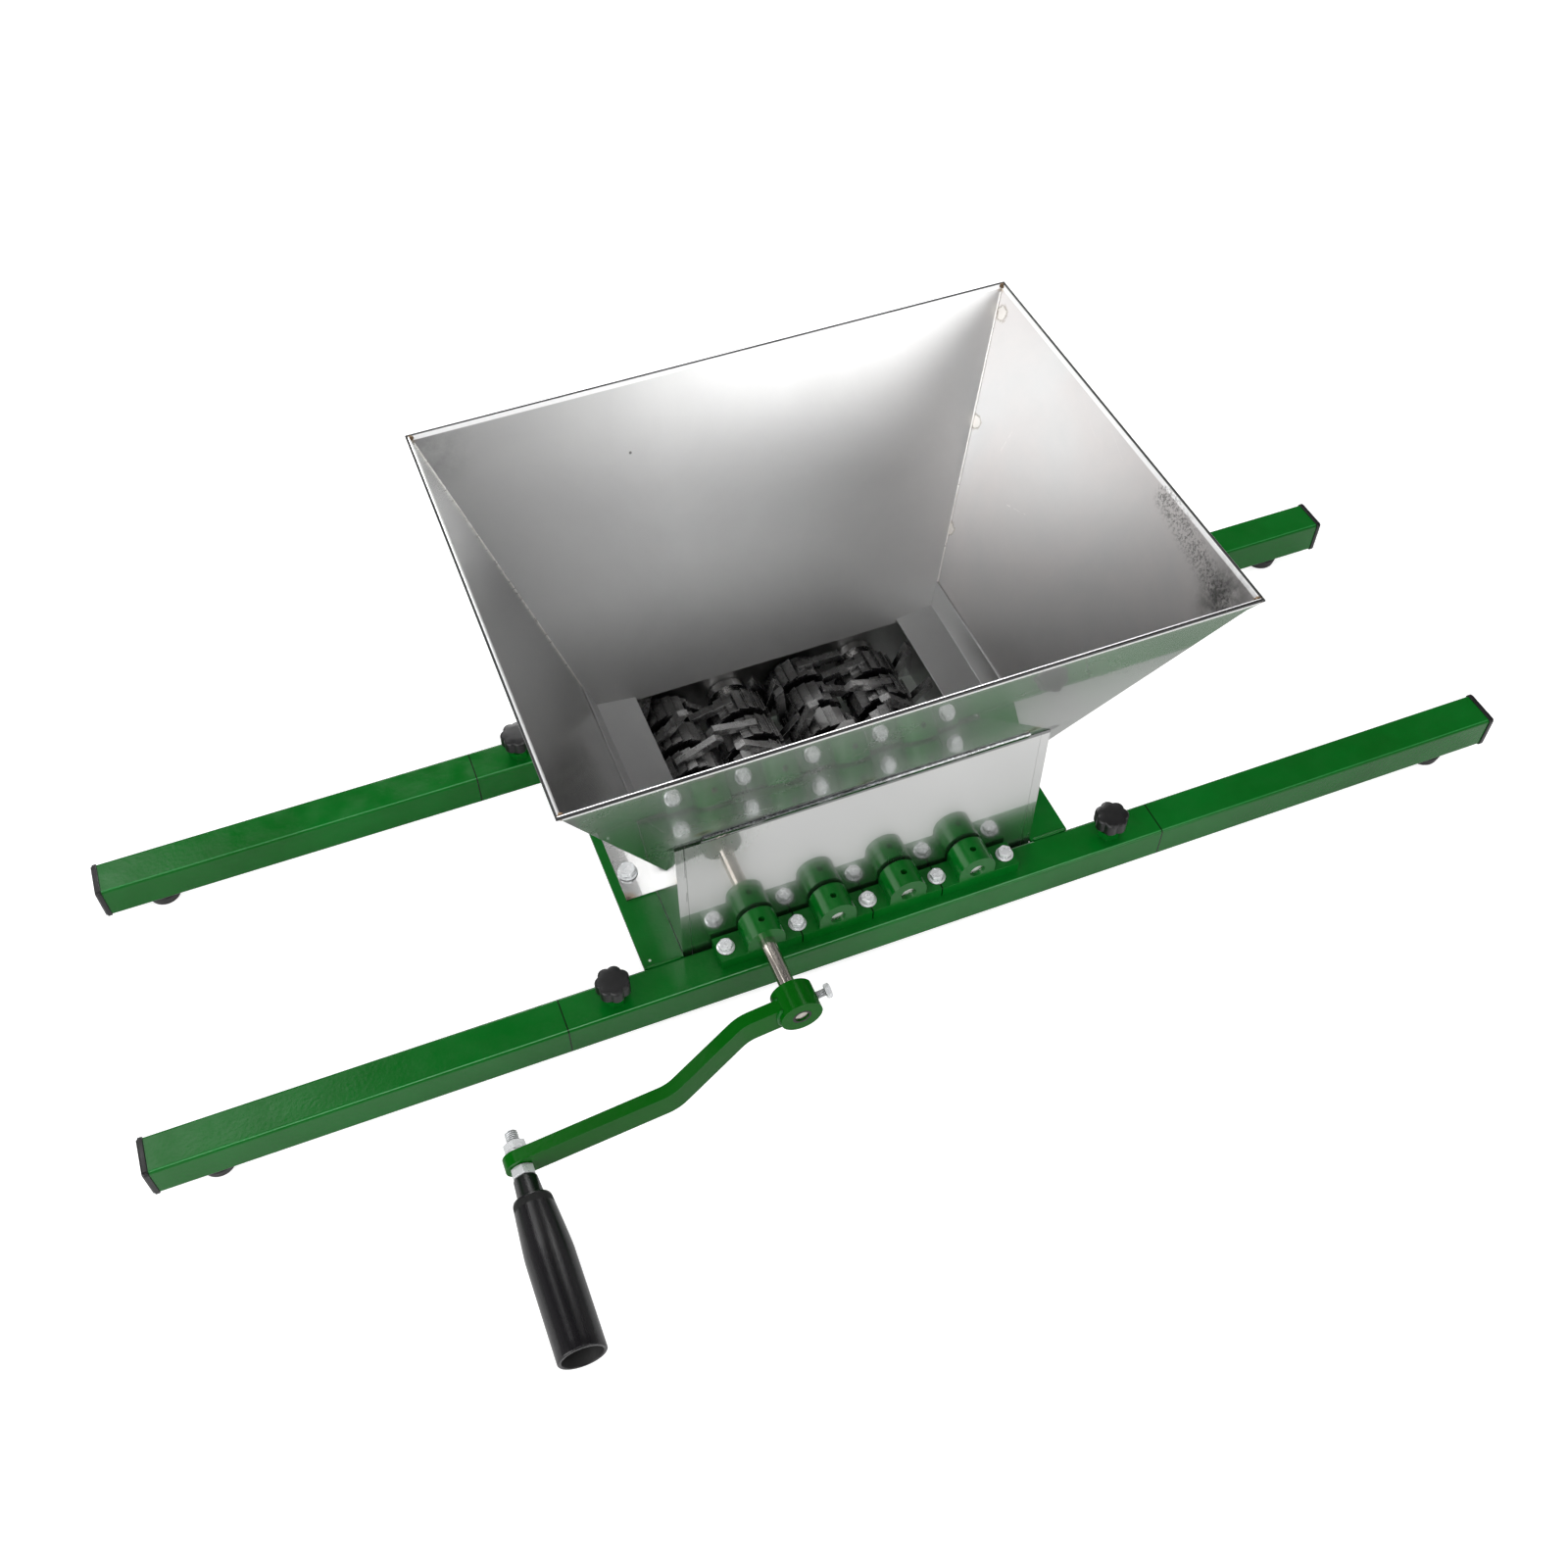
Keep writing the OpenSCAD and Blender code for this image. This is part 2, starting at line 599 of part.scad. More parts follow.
// Cutter disc: ratchet toothed ring, straight claws at its middle, hub and hex bore
module cutter_disc(turn) difference() {
  rotate([0, turn, 0]) union() {
    along_y(-ring_len / 2, ring_len / 2) polygon(ring_points);
    along_y(-claw_t / 2, claw_t / 2) for (k = [0:claw_count - 1])
      rotate([0, 0, k * 360 / claw_count]) polygon(claw_points);
    bar_y(cut_hub_r, -(cut_pitch - stack_gap) / 2, (cut_pitch - stack_gap) / 2);
  }
  along_y(-cut_pitch, cut_pitch) hexagon(hex_af + 2 * hex_fit);
}
module cutters(i) color(cast) place() translate([shaft_x[i], 0, shaft_h])
  for (k = [0:cut_count - 1]) {
    hand = roller_hand[i];
    translate([0, disc_y0 - (hand > 0 ? cut_pitch / 2 : 0) - k * cut_pitch, 0])
      mirror([hand < 0 ? 1 : 0, 0, 0])
        cutter_disc(hand < 0 ? roller_phase[i] + k * roller_turn[i] - 180
          : -roller_phase[i] - k * roller_turn[i]);
  }
module drive_cutters() cutters(0);
module second_cutters() cutters(1);
module third_cutters() cutters(2);
module fourth_cutters() cutters(3);

// Involute spur gear outline
gear_module = shaft_pitch / gear_teeth;
pitch_r = shaft_pitch / 2;
base_r = pitch_r * cos(pressure_angle);
tip_r = pitch_r + tip_share * gear_module;
root_r = pitch_r - root_share * gear_module;
function inv(a) = tan(a) * 180 / PI - a;
function flank_half(r) = (90 / gear_teeth) - backlash / 4 / pitch_r * 180 / PI
  + inv(pressure_angle) - (r > base_r ? inv(acos(base_r / r)) : 0);
function flank_r(j) = j == 0 ? root_r
  : max(base_r, root_r) + (tip_r - max(base_r, root_r)) * (j - 1) / (flank_steps - 1);
gear_points = [for (k = [0:gear_teeth - 1], e = [0:2 * flank_steps + 1])
  let (up = e <= flank_steps, j = up ? e : 2 * flank_steps + 1 - e, r = flank_r(j),
    a = k * 360 / gear_teeth + (up ? -1 : 1) * flank_half(r)) r * [cos(a), sin(a)]];
module gear(i) color(steel) place() translate([shaft_x[i], 0, shaft_h]) difference() {
  last = disc_y0 - (roller_hand[i] > 0 ? cut_pitch / 2 : 0) - (cut_count - 0.5) * cut_pitch;
  union() {
    along_y(gear_y0, gear_y0 + gear_face) polygon(gear_points);
    bar_y(gear_hub_d / 2, gear_y0, last);
  }
  along_y(gear_y0 - over, last + over) hexagon(hex_af + 2 * hex_fit);
}
module drive_gear() gear(0);
module second_gear() gear(1);
module third_gear() gear(2);
module fourth_gear() gear(3);

// The crank is drawn with its arm along X, then laid to its resting angle
module at_crank() translate([shaft_x[0], 0, shaft_h]) rotate([0, -rest_angle, 0])
  mirror([1, 0, 0]) children();
// Points of an arc of radius r that rounds corner b between a and c
function rounding(a, b, c, r) = let (u = (a - b) / norm(a - b), v = (c - b) / norm(c - b),
  half = acos(u * v) / 2, middle = b + (u + v) / norm(u + v) * r / sin(half),
  from = b + u * r / tan(half) - middle, to = b + v * r / tan(half) - middle,
  start = atan2(from.y, from.x), sweep = (180 - 2 * half) * sign(cross(from, to)))
  [for (k = [0:bend_steps]) middle + r * [cos(start + sweep * k / bend_steps),
    sin(start + sweep * k / bend_steps)]];
arm_bend = atan(joggle / joggle_len);
arm_shift = arm_t * tan(arm_bend / 2);
arm_back = [[0, crank_y_inner()], [joggle_from, crank_y_inner()],
  [joggle_from + joggle_len, crank_y_outer()], [arm_len + arm_w, crank_y_outer()]];
arm_front_line = [[arm_len + arm_w, crank_y_outer() - arm_t],
  [joggle_from + joggle_len - arm_shift, crank_y_outer() - arm_t],
  [joggle_from - arm_shift, crank_y_inner() - arm_t], [0, crank_y_inner() - arm_t]];
arm_points = concat([arm_back[0]],
  rounding(arm_back[0], arm_back[1], arm_back[2], arm_bend_r + arm_t),
  rounding(arm_back[1], arm_back[2], arm_back[3], arm_bend_r), [arm_back[3]],
  [arm_front_line[0]],
  rounding(arm_front_line[0], arm_front_line[1], arm_front_line[2], arm_bend_r + arm_t),
  rounding(arm_front_line[1], arm_front_line[2], arm_front_line[3], arm_bend_r),
  [arm_front_line[3]]);
module crank_arm() color(green) place() at_crank() difference() {
  y0 = -crank_reach;
  union() {
    intersection() {
      translate([0, 0, -arm_w / 2]) linear_extrude(arm_w) polygon(arm_points);
      along_y(y0 - 2 * joggle, 0) union() {
        translate([0, -arm_w / 2]) square([arm_len, arm_w]);
        translate([arm_len, 0]) circle(arm_w / 2);
      }
    }
    bar_y(crank_hub_d / 2, y0, y0 + crank_hub_len);
  }
  bar_y(journal_r + run_fit, y0 - over, y0 + crank_hub_len + over);
  translate([arm_len, 0, 0]) bar_y(stud_d / 2 + run_fit, y0 - 2 * joggle, 0);
  translate([0, y0 + crank_hub_len / 2, 0]) rotate([0, -90, 0])
    cylinder(r = screw_d / 2 + run_fit, h = crank_hub_d, $fn = 32);
}
module crank_set_screw() color(zinc) place() at_crank()
  translate([0, -crank_reach + crank_hub_len / 2, 0]) rotate([0, -90, 0]) union() {
    translate([0, 0, journal_r + seat_gap])
      cylinder(r = screw_d / 2, h = crank_hub_d / 2 - journal_r + screw_out, $fn = 32);
    translate([0, 0, crank_hub_d / 2 + screw_out]) linear_extrude(screw_head_h)
      hexagon(screw_head_af);
  }

// Handle bolt, its nuts and washer on both sides of the arm, and the grip
module at_handle() at_crank() translate([arm_len, 0, 0]) children();
hollow_y = grip_end + grip_hollow;
module handle_bolt() color(zinc) place() at_handle() union() {
  bar_y(stud_d / 2, hollow_y - grip_gap,
    crank_y_outer() + washer_handle_t + nut_h + stud_past);
  along_y(hollow_y - grip_gap - grip_bolt_head_h, hollow_y - grip_gap) hexagon(bolt_head_d);
}
module nut_y(from, to) difference() {
  along_y(from, to) hexagon(nut_af);
  bar_y(stud_d / 2 + run_fit, from - over, to + over);
}
module handle_nuts() color(zinc) place() at_handle() {
  y1 = crank_y_outer();
  nut_y(y1 - arm_t - front_nut_h, y1 - arm_t - seat_gap);
  difference() {
    bar_y(washer_handle_d / 2, y1 + seat_gap, y1 + washer_handle_t);
    bar_y(stud_d / 2 + run_fit, y1 - over, y1 + washer_handle_t + over);
  }
  nut_y(y1 + washer_handle_t + seat_gap, y1 + washer_handle_t + nut_h);
}
grip_points = [[stud_d / 2 + run_fit, 0], [grip_neck_d / 2, 0],
  [grip_neck_root_d / 2, grip_neck_len], [grip_shoulder_d / 2, grip_neck_len],
  [(grip_shoulder_d + grip_bulge_d) / 4 + grip_wall / 3, grip_neck_len + grip_taper_len / 2],
  [grip_bulge_d / 2, grip_neck_len + grip_taper_len],
  [grip_d / 2, grip_len - grip_wall / 2], [grip_d / 2 - grip_wall / 4, grip_len],
  [grip_d / 2 - grip_wall, grip_len], [grip_d / 2 - grip_wall, grip_len - grip_hollow],
  [stud_d / 2 + run_fit, grip_len - grip_hollow]];
module handle_grip() color(black) place() at_handle() translate([0, grip_y, 0])
  rotate([90, 0, 0]) rotate_extrude($fn = 64) polygon(grip_points);

// Sliding rail end: outer tube with a sleeve that enters the middle rail
module extension(s, rear) color(green) place() mirror([s < 0 ? 1 : 0, 0, 0]) difference() {
  x0 = seam_x + seam_gap;
  x1 = end_x - cap_t;
  bite = sleeve_fit + rail_wall / 4;
  union() {
    difference() {
      rail_line(rear) along_x(x0, x1) round_square(rail_w, rail_corner);
      rail_line(rear) along_x(x0 - over, x1 + over)
        round_square(tube_in, rail_corner - rail_wall + seat_gap);
    }
    difference() {
      union() {
        rail_line(rear) along_x(seam_x - sleeve_len, x0 + sleeve_hold)
          round_square(sleeve_w, rail_corner);
        rail_line(rear) along_x(x0, x0 + sleeve_hold)
          round_square(sleeve_w + 2 * bite, rail_corner);
      }
      rail_line(rear) along_x(seam_x - sleeve_len - over, x0 + sleeve_hold + over)
        round_square(sleeve_w - 2 * sleeve_wall, rail_corner - sleeve_wall + seat_gap);
    }
  }
  rail_line(rear) translate([foot_x, 0, -rail_w / 2 - over])
    cylinder(r = foot_stem_d / 2 + run_fit, h = rail_wall + 2 * over, $fn = 32);
}
module front_left_extension() extension(-1, false);
module front_right_extension() extension(1, false);
module rear_left_extension() extension(-1, true);
module rear_right_extension() extension(1, true);

// Plastic cap with a hollow plug
module end_cap(s, rear) color(black) place() mirror([s < 0 ? 1 : 0, 0, 0])
  rail_line(rear) union() {
    x1 = end_x - cap_t;
    along_x(x1 + seat_gap, end_x - cap_face_round)
      round_square(rail_w + 2 * cap_lip, cap_round);
    along_x(x1 + seat_gap, end_x)
      round_square(rail_w + 2 * cap_lip - 2 * cap_face_round, cap_round - cap_face_round);
    difference() {
      along_x(x1 - cap_plug_len, x1 + cap_t / 2)
        round_square(tube_in - 2 * cap_plug_fit, rail_corner);
      along_x(x1 - cap_plug_len - over, x1)
        round_square(tube_in - 2 * cap_plug_fit - 2 * cap_plug_wall, rail_corner / 2);
    }
  }
module front_left_end_cap() end_cap(-1, false);
module front_right_end_cap() end_cap(1, false);
module rear_left_end_cap() end_cap(-1, true);
module rear_right_end_cap() end_cap(1, true);

// Rubber foot with a push-in stem
foot_points = [[0, foot_recess_h], [foot_recess_d / 2, foot_recess_h], [foot_recess_d / 2, 0],
  [foot_d / 2 - foot_taper - foot_round, 0], [foot_d / 2 - foot_taper, foot_round],
  [foot_d / 2, foot_h - foot_round], [foot_d / 2 - foot_round, foot_h - seat_gap],
  [foot_stem_d / 2, foot_h - seat_gap], [foot_stem_d / 2, foot_h + rail_wall + seat_gap],
  [foot_bulb_d / 2, foot_h + rail_wall + seat_gap],
  [foot_stem_d / 3, foot_h + rail_wall + foot_bulb_h], [0, foot_h + rail_wall + foot_bulb_h]];
module foot(s, rear) color(black) place() mirror([s < 0 ? 1 : 0, 0, 0])
  rail_line(rear) translate([foot_x, 0, -rail_w / 2 - foot_h])
    rotate_extrude() polygon(foot_points);
module front_left_foot() foot(-1, false);
module front_right_foot() foot(1, false);
module rear_left_foot() foot(-1, true);
module rear_right_foot() foot(1, true);

// Clamping knob: lobed head with a domed top, collar and screw
module knob(s, rear) color(black) place() mirror([s < 0 ? 1 : 0, 0, 0])
  rail_line(rear) translate([knob_x, 0, rail_w / 2 + weld_nut_h + knob_gap]) union() {
    lobe_r = knob_d * lobe_share / 2 * 1.3;
    head_z = knob_collar_h;
    dome = knob_h * knob_dome_share;
    intersection() {
      translate([0, 0, head_z]) linear_extrude(knob_h) union() {
        circle(knob_d / 2 - lobe_r);
        for (k = [0:knob_lobes - 1]) rotate([0, 0, k * 360 / knob_lobes])
          translate([knob_d / 2 - lobe_r, 0]) circle(lobe_r, $fn = 24);
      }
      rotate_extrude() polygon([[0, head_z], [knob_d / 2, head_z],
        [knob_d / 2, head_z + knob_h - dome], [knob_d / 2 - dome / 2, head_z + knob_h - dome / 4],
        [knob_d / 2 - dome, head_z + knob_h], [0, head_z + knob_h]]);
    }
    cylinder(r = knob_collar_d / 2, h = head_z + knob_h / 2);
    translate([0, 0, -weld_nut_h - knob_gap - rail_wall - sleeve_fit + seat_gap])
      cylinder(r = knob_screw_d / 2, h = weld_nut_h + knob_gap + rail_wall + head_z, $fn = 32);
  }
module front_left_knob() knob(-1, false);
module front_right_knob() knob(1, false);
module rear_left_knob() knob(-1, true);
module rear_right_knob() knob(1, true);

front_rail();
rear_rail();
left_cross_plate();
right_cross_plate();
chute_front_wall();
chute_rear_wall();
chute_left_wall();
chute_right_wall();
chute_mount_bolts();
hopper_front_wall();
hopper_rear_wall();
hopper_left_wall();
hopper_right_wall();
left_guard_plate();
right_guard_plate();
front_bearing_1();
front_bearing_2();
front_bearing_3();
front_bearing_4();
rear_bearing_1();
rear_bearing_2();
rear_bearing_3();
rear_bearing_4();
front_bearing_bolts();
rear_bearing_bolts();
thrust_washers();
drive_shaft();
drive_cutters();
drive_gear();
second_shaft();
second_cutters();
second_gear();
third_shaft();
third_cutters();
third_gear();
fourth_shaft();
fourth_cutters();
fourth_gear();
crank_arm();
crank_set_screw();
handle_bolt();
handle_nuts();
handle_grip();
front_left_extension();
front_left_end_cap();
front_left_foot();
front_right_extension();
front_right_end_cap();
front_right_foot();
rear_left_extension();
rear_left_end_cap();
rear_left_foot();
rear_right_extension();
rear_right_end_cap();
rear_right_foot();
front_left_knob();
front_right_knob();
rear_left_knob();
rear_right_knob();
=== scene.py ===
# Hand cranked apple scratter: paint, sheet metal, cutters, fasteners, studio and camera.
# Lengths in the dictionaries are millimetres in the drawing's own frame: x along the rails,
# y back from the front rail's face, z up from the rails' top.
import json
from math import radians

import bmesh
import bpy
import numpy as np
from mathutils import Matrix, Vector

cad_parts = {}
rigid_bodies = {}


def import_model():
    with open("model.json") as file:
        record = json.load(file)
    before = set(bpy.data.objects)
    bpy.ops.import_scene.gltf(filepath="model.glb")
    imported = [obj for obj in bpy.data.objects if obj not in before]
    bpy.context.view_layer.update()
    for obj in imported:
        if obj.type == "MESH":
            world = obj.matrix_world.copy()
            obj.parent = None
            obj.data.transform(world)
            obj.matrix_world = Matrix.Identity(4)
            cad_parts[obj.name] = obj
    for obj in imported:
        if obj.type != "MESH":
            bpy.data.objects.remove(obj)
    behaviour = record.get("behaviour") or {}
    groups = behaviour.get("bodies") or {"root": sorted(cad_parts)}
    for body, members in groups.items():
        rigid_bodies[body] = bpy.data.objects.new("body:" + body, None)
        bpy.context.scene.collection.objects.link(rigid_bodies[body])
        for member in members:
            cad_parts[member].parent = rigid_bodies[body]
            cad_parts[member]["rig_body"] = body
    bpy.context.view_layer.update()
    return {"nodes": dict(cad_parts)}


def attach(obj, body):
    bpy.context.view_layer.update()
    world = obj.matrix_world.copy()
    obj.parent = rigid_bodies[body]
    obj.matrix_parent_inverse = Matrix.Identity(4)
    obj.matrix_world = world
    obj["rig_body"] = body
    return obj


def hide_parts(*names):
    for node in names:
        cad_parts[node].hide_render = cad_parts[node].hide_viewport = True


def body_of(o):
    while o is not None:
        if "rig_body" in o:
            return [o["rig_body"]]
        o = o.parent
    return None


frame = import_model()
cadNodes = frame["nodes"]
print("frame loaded:", len(cadNodes), "nodes")

layout = dict(originY=41.15, standHeight=35.0, shaftX=(-71.25, -23.75, 23.75, 71.25), shaftZ=15.0,
              shaftPitch=47.5, midY=116.75, seamX=202.0, seamGap=0.5, hairline=0.06, seamReach=0.02)


def toRow(points):
    # Drawing millimetres to the frame's metres: shift by the origin, then divide by 1000.
    return (np.asarray(points, float) + (0, -layout["originY"], layout["standHeight"])) / 1000


def circle(steps):
    return np.linspace(0, 2 * np.pi, steps, endpoint=False)


def gridPart(points, capStart=True, capEnd=True):
    # Rows of a ring carried along a path: row i joins row i + 1, columns wrap round,
    # and each end ring closes on its own middle point.
    points = np.asarray(points, float)
    rows, cols, _ = points.shape
    verts = points.reshape(-1, 3)
    i, j = np.meshgrid(np.arange(rows - 1), np.arange(cols), indexing="ij")
    k = (j + 1) % cols
    quads = np.stack([i * cols + j, i * cols + k, (i + 1) * cols + k, (i + 1) * cols + j], -1)
    faces = quads.reshape(-1, 4).tolist()
    for wanted, row, flip in ((capStart, 0, True), (capEnd, rows - 1, False)):
        if not wanted:
            continue
        centre = len(verts)
        verts = np.vstack([verts, points[row].mean(0)])
        ring = row * cols + np.arange(cols)
        nextRing = np.roll(ring, -1)
        fan = np.stack([nextRing, ring] if flip else [ring, nextRing], -1)
        faces += np.column_stack([fan, np.full(cols, centre)]).tolist()
    return verts, faces


def aroundZ(r, z, t):
    # Points of a turned surface: x = r cos t, y = r sin t, z the same all round each ring.
    return np.stack([r * np.cos(t), r * np.sin(t), z[:, None] + 0 * t], -1)


def turned(axial, radial, steps=64, around=None):
    # Surface of revolution along +z, its radius times around(t) where that is given.
    t = circle(steps)
    r = np.asarray(radial, float)[:, None] * (np.ones_like(t) if around is None else around(t))
    return aroundZ(r, np.asarray(axial, float), t)


def hexBody(flats, low, high, chamferLow=True, chamferHigh=True, steps=96, crown=0.94, rings=7):
    # Hexagon prism turned off by two 30 degree cones: r = the smaller of
    # apothem / cos(angle from the flat) and crown radius + depth / tan 30.
    t = circle(steps)
    hexR = flats / 2 / np.cos((t + np.pi / 6) % (np.pi / 3) - np.pi / 6)
    dip = (flats / 2 / np.cos(np.pi / 6) - crown * flats / 2) * np.tan(radians(30))
    share = np.linspace(0, 1, rings)
    z = np.concatenate([low + dip * share, high - dip * share[::-1]])
    unlimited = 1e3
    cone = np.full(len(z), unlimited)
    if chamferLow:
        cone[:rings] = crown * flats / 2 + dip * share / np.tan(radians(30))
    if chamferHigh:
        cone[rings:] = crown * flats / 2 + dip * share[::-1] / np.tan(radians(30))
    return aroundZ(np.minimum(hexR[None, :], cone[:, None]), z, t)


def threadedRod(size, pitch, low, high, steps=32, lead=0.6, depthShare=0.61, flank=1.25):
    # Screw thread: r = core + depth * triangle(z / pitch - angle / turn), faded at both ends.
    t = circle(steps)
    z = np.linspace(low, high, max(8, int((high - low) / pitch * 8)))
    depth = depthShare * pitch
    phase = (z[:, None] / pitch - t[None, :] / (2 * np.pi)) % 1
    wave = 1 - np.abs(2 * phase - 1)
    fade = np.clip(np.minimum(z - low, high - z) / lead, 0, 1)[:, None]
    return aroundZ(size / 2 - depth + depth * np.clip(wave * flank, 0, 1) * fade, z, t)


beadLook = dict(perRipple=6, steps=14, knots=9, swell=0.15, ripple=0.13, lean=0.35, closed=0.03,
                aside=(0.31, 0.22, 0.92))


def weldBead(path, radius, pitch, seed=1, uneven=1.0):
    # Weld bead: a ring of radius r * (1 + ripple) carried along a path, with the ripples
    # leaning back as a run of overlapping drops, and ends that close down.
    path = np.asarray(path, float)
    length = np.concatenate([[0], np.cumsum(np.linalg.norm(np.diff(path, axis=0), axis=1))])
    s = np.linspace(0, length[-1], max(12, int(length[-1] / pitch * beadLook["perRipple"])))
    centre = np.stack([np.interp(s, length, path[:, k]) for k in range(3)], -1)
    along = np.gradient(centre, axis=0)
    along /= np.linalg.norm(along, axis=1)[:, None]
    side = np.cross(along, np.array(beadLook["aside"]))
    side /= np.linalg.norm(side, axis=1)[:, None]
    up = np.cross(side, along)
    t = circle(beadLook["steps"])
    rng = np.random.default_rng(seed)
    draws = rng.uniform(-beadLook["swell"], beadLook["swell"], beadLook["knots"])
    swell = np.interp(s, np.linspace(0, length[-1], beadLook["knots"]), 1 + uneven * draws)
    wave = np.abs(np.sin(np.pi * (s[:, None] / pitch + beadLook["lean"] * np.cos(t))))
    ends = np.sqrt(np.clip(np.minimum(s, length[-1] - s) / radius, beadLook["closed"], 1))
    r = radius * swell[:, None] * (1 + beadLook["ripple"] * uneven * wave) * ends[:, None]
    return centre[:, None] + r[..., None] * (side[:, None] * np.cos(t)[None, :, None]
                                             + up[:, None] * np.sin(t)[None, :, None])


def addObject(name, data):
    thing = bpy.data.objects.new(name, data)
    bpy.context.scene.collection.objects.link(thing)
    return thing


def addPiece(name, parts, material, body, replaces=(), sharp=40):
    # Parts are (vertices in metres, faces). They become one mesh with its place in the mesh.
    verts, faces, start = [], [], 0
    for partVerts, partFaces in parts:
        verts.append(np.asarray(partVerts, float))
        faces += [[start + k for k in face] for face in partFaces]
        start += len(partVerts)
    mesh = bpy.data.meshes.new(name)
    mesh.from_pydata(np.vstack(verts).tolist(), [], faces)
    work = bmesh.new()
    work.from_mesh(mesh)
    bmesh.ops.recalc_face_normals(work, faces=work.faces)
    work.to_mesh(mesh)
    work.free()
    mesh.shade_smooth()
    mesh.set_sharp_from_angle(angle=radians(sharp))
    mesh.materials.append(material)
    piece = addObject(name, mesh)
    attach(piece, body)
    if replaces:
        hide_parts(*replaces)
    return piece


def addBeads(name, beads, material, body):
    parts = [(toRow(verts), faces) for verts, faces in map(gridPart, beads)]
    return addPiece(name, parts, material, body, sharp=80)


def placed(grid, origin, xAxis, zAxis):
    # Turns a part drawn along +z so that its z runs along zAxis, and puts it at origin.
    z = np.asarray(zAxis, float) / np.linalg.norm(zAxis)
    x = np.asarray(xAxis, float)
    x = x - z * (x @ z)
    x /= np.linalg.norm(x)
    turn = np.stack([x, np.cross(z, x), z])
    verts, faces = gridPart(grid)
    return toRow(verts @ turn + np.asarray(origin, float)), faces


def closeSlivers(work, thin=2e-6, rounds=8):
    # Folds every triangle that is thinner than thin (metres) into its longest edge: the edge
    # is split beside the third corner and welded to it.
    for _ in range(rounds):
        target, used = {}, set()
        for face in list(work.faces):
            if len(face.verts) != 3 or used & set(face.verts):
                continue
            longest = max(face.edges, key=lambda edge: edge.calc_length())
            if 2 * face.calc_area() > thin * longest.calc_length():
                continue
            corner = next(vert for vert in face.verts if vert not in longest.verts)
            start, end = longest.verts
            used |= {corner, start, end}
            span = end.co - start.co
            share = (corner.co - start.co) @ span / (span @ span)
            target[bmesh.utils.edge_split(longest, start, share)[1]] = corner
        if not target:
            return
        bmesh.ops.weld_verts(work, targetmap=target)


def ofFaces(mesh, what):
    values = np.empty(len(mesh.polygons) * 3)
    mesh.polygons.foreach_get(what, values)
    return values.reshape(-1, 3)


def closeSeamFace(mesh):
    # A sliding end reaches the middle tube, so that only a hairline shows between them.
    places = np.empty(len(mesh.vertices) * 3)
    mesh.vertices.foreach_get("co", places)
    x = places[0::3]
    atSeam = np.abs(x) < (layout["seamX"] + layout["seamGap"] + layout["seamReach"]) / 1000
    x[atSeam] -= np.sign(x[atSeam]) * (layout["seamGap"] - layout["hairline"]) / 1000
    mesh.vertices.foreach_set("co", places)
    mesh.update()


def finishNode(node, materials, bevel, steps=2, angle=32, pick=None, edgeSlot=-1,
               closeSeam=False):
    # A merged copy of a CAD node with its edges broken by a small bevel. Pick gives each
    # face's material from the faces' normals and centres.
    mesh = cadNodes[node].data.copy()
    mesh.name = node + "_finished"
    mesh.materials.clear()
    work = bmesh.new()
    work.from_mesh(mesh)
    bmesh.ops.remove_doubles(work, verts=work.verts, dist=5e-6)
    closeSlivers(work)
    bmesh.ops.dissolve_limit(work, angle_limit=radians(0.5), verts=work.verts, edges=work.edges)
    work.to_mesh(mesh)
    work.free()
    if closeSeam:
        closeSeamFace(mesh)
    for material in materials:
        mesh.materials.append(material)
    chosen = np.zeros(len(mesh.polygons), np.int32)
    if pick is not None:
        chosen = pick(ofFaces(mesh, "normal"), ofFaces(mesh, "center")).astype(np.int32)
    mesh.polygons.foreach_set("material_index", chosen)
    mesh.shade_smooth()
    piece = addObject(node + "_finished", mesh)
    if bevel:
        edge = piece.modifiers.new("brokenEdges", "BEVEL")
        edge.width = bevel / 1000
        edge.segments = steps
        edge.limit_method = "ANGLE"
        edge.angle_limit = radians(angle)
        edge.harden_normals = True
        edge.material = edgeSlot
    else:
        mesh.set_sharp_from_angle(angle=radians(angle))
    # Flat faces keep their own direction; only the broken edges and bends shade round.
    flat = piece.modifiers.new("flatFaces", "WEIGHTED_NORMAL")
    flat.mode = "FACE_AREA"
    flat.weight = 100
    flat.keep_sharp = True
    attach(piece, body_of(cadNodes[node])[0])
    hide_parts(node)
    return piece


def newMaterial(name, **sockets):
    # A Principled material; plain numbers and colours go on the shader's own sockets.
    material = bpy.data.materials.new(name)
    material.use_nodes = True
    tree = material.node_tree
    shader = tree.nodes["Principled BSDF"]
    for key, value in sockets.items():
        shader.inputs[key].default_value = value
    return material, tree, shader


def connected(material, shader, colour, roughness, normal):
    links = material.node_tree.links
    for socket, value in (("Base Color", colour), ("Roughness", roughness), ("Normal", normal)):
        links.new(value, shader.inputs[socket])
    return material


def addNode(tree, kind, inputs=None, **settings):
    node = tree.nodes.new(kind)
    for key, value in settings.items():
        setattr(node, key, value)
    for key, value in (inputs or {}).items():
        if isinstance(value, bpy.types.NodeSocket):
            tree.links.new(value, node.inputs[key])
        else:
            node.inputs[key].default_value = value
    return node


def objectPlace(tree):
    return addNode(tree, "ShaderNodeTexCoord").outputs["Object"]


def objectCoords(tree, scale=(1, 1, 1)):
    mapping = addNode(tree, "ShaderNodeMapping", {"Vector": objectPlace(tree), "Scale": scale})
    return mapping.outputs["Vector"]


def noise(tree, coords, scale, detail=3.0, rough=0.5, warp=0.0):
    inputs = {"Vector": coords, "Scale": scale, "Detail": detail, "Roughness": rough,
              "Distortion": warp}
    return addNode(tree, "ShaderNodeTexNoise", inputs).outputs["Fac"]


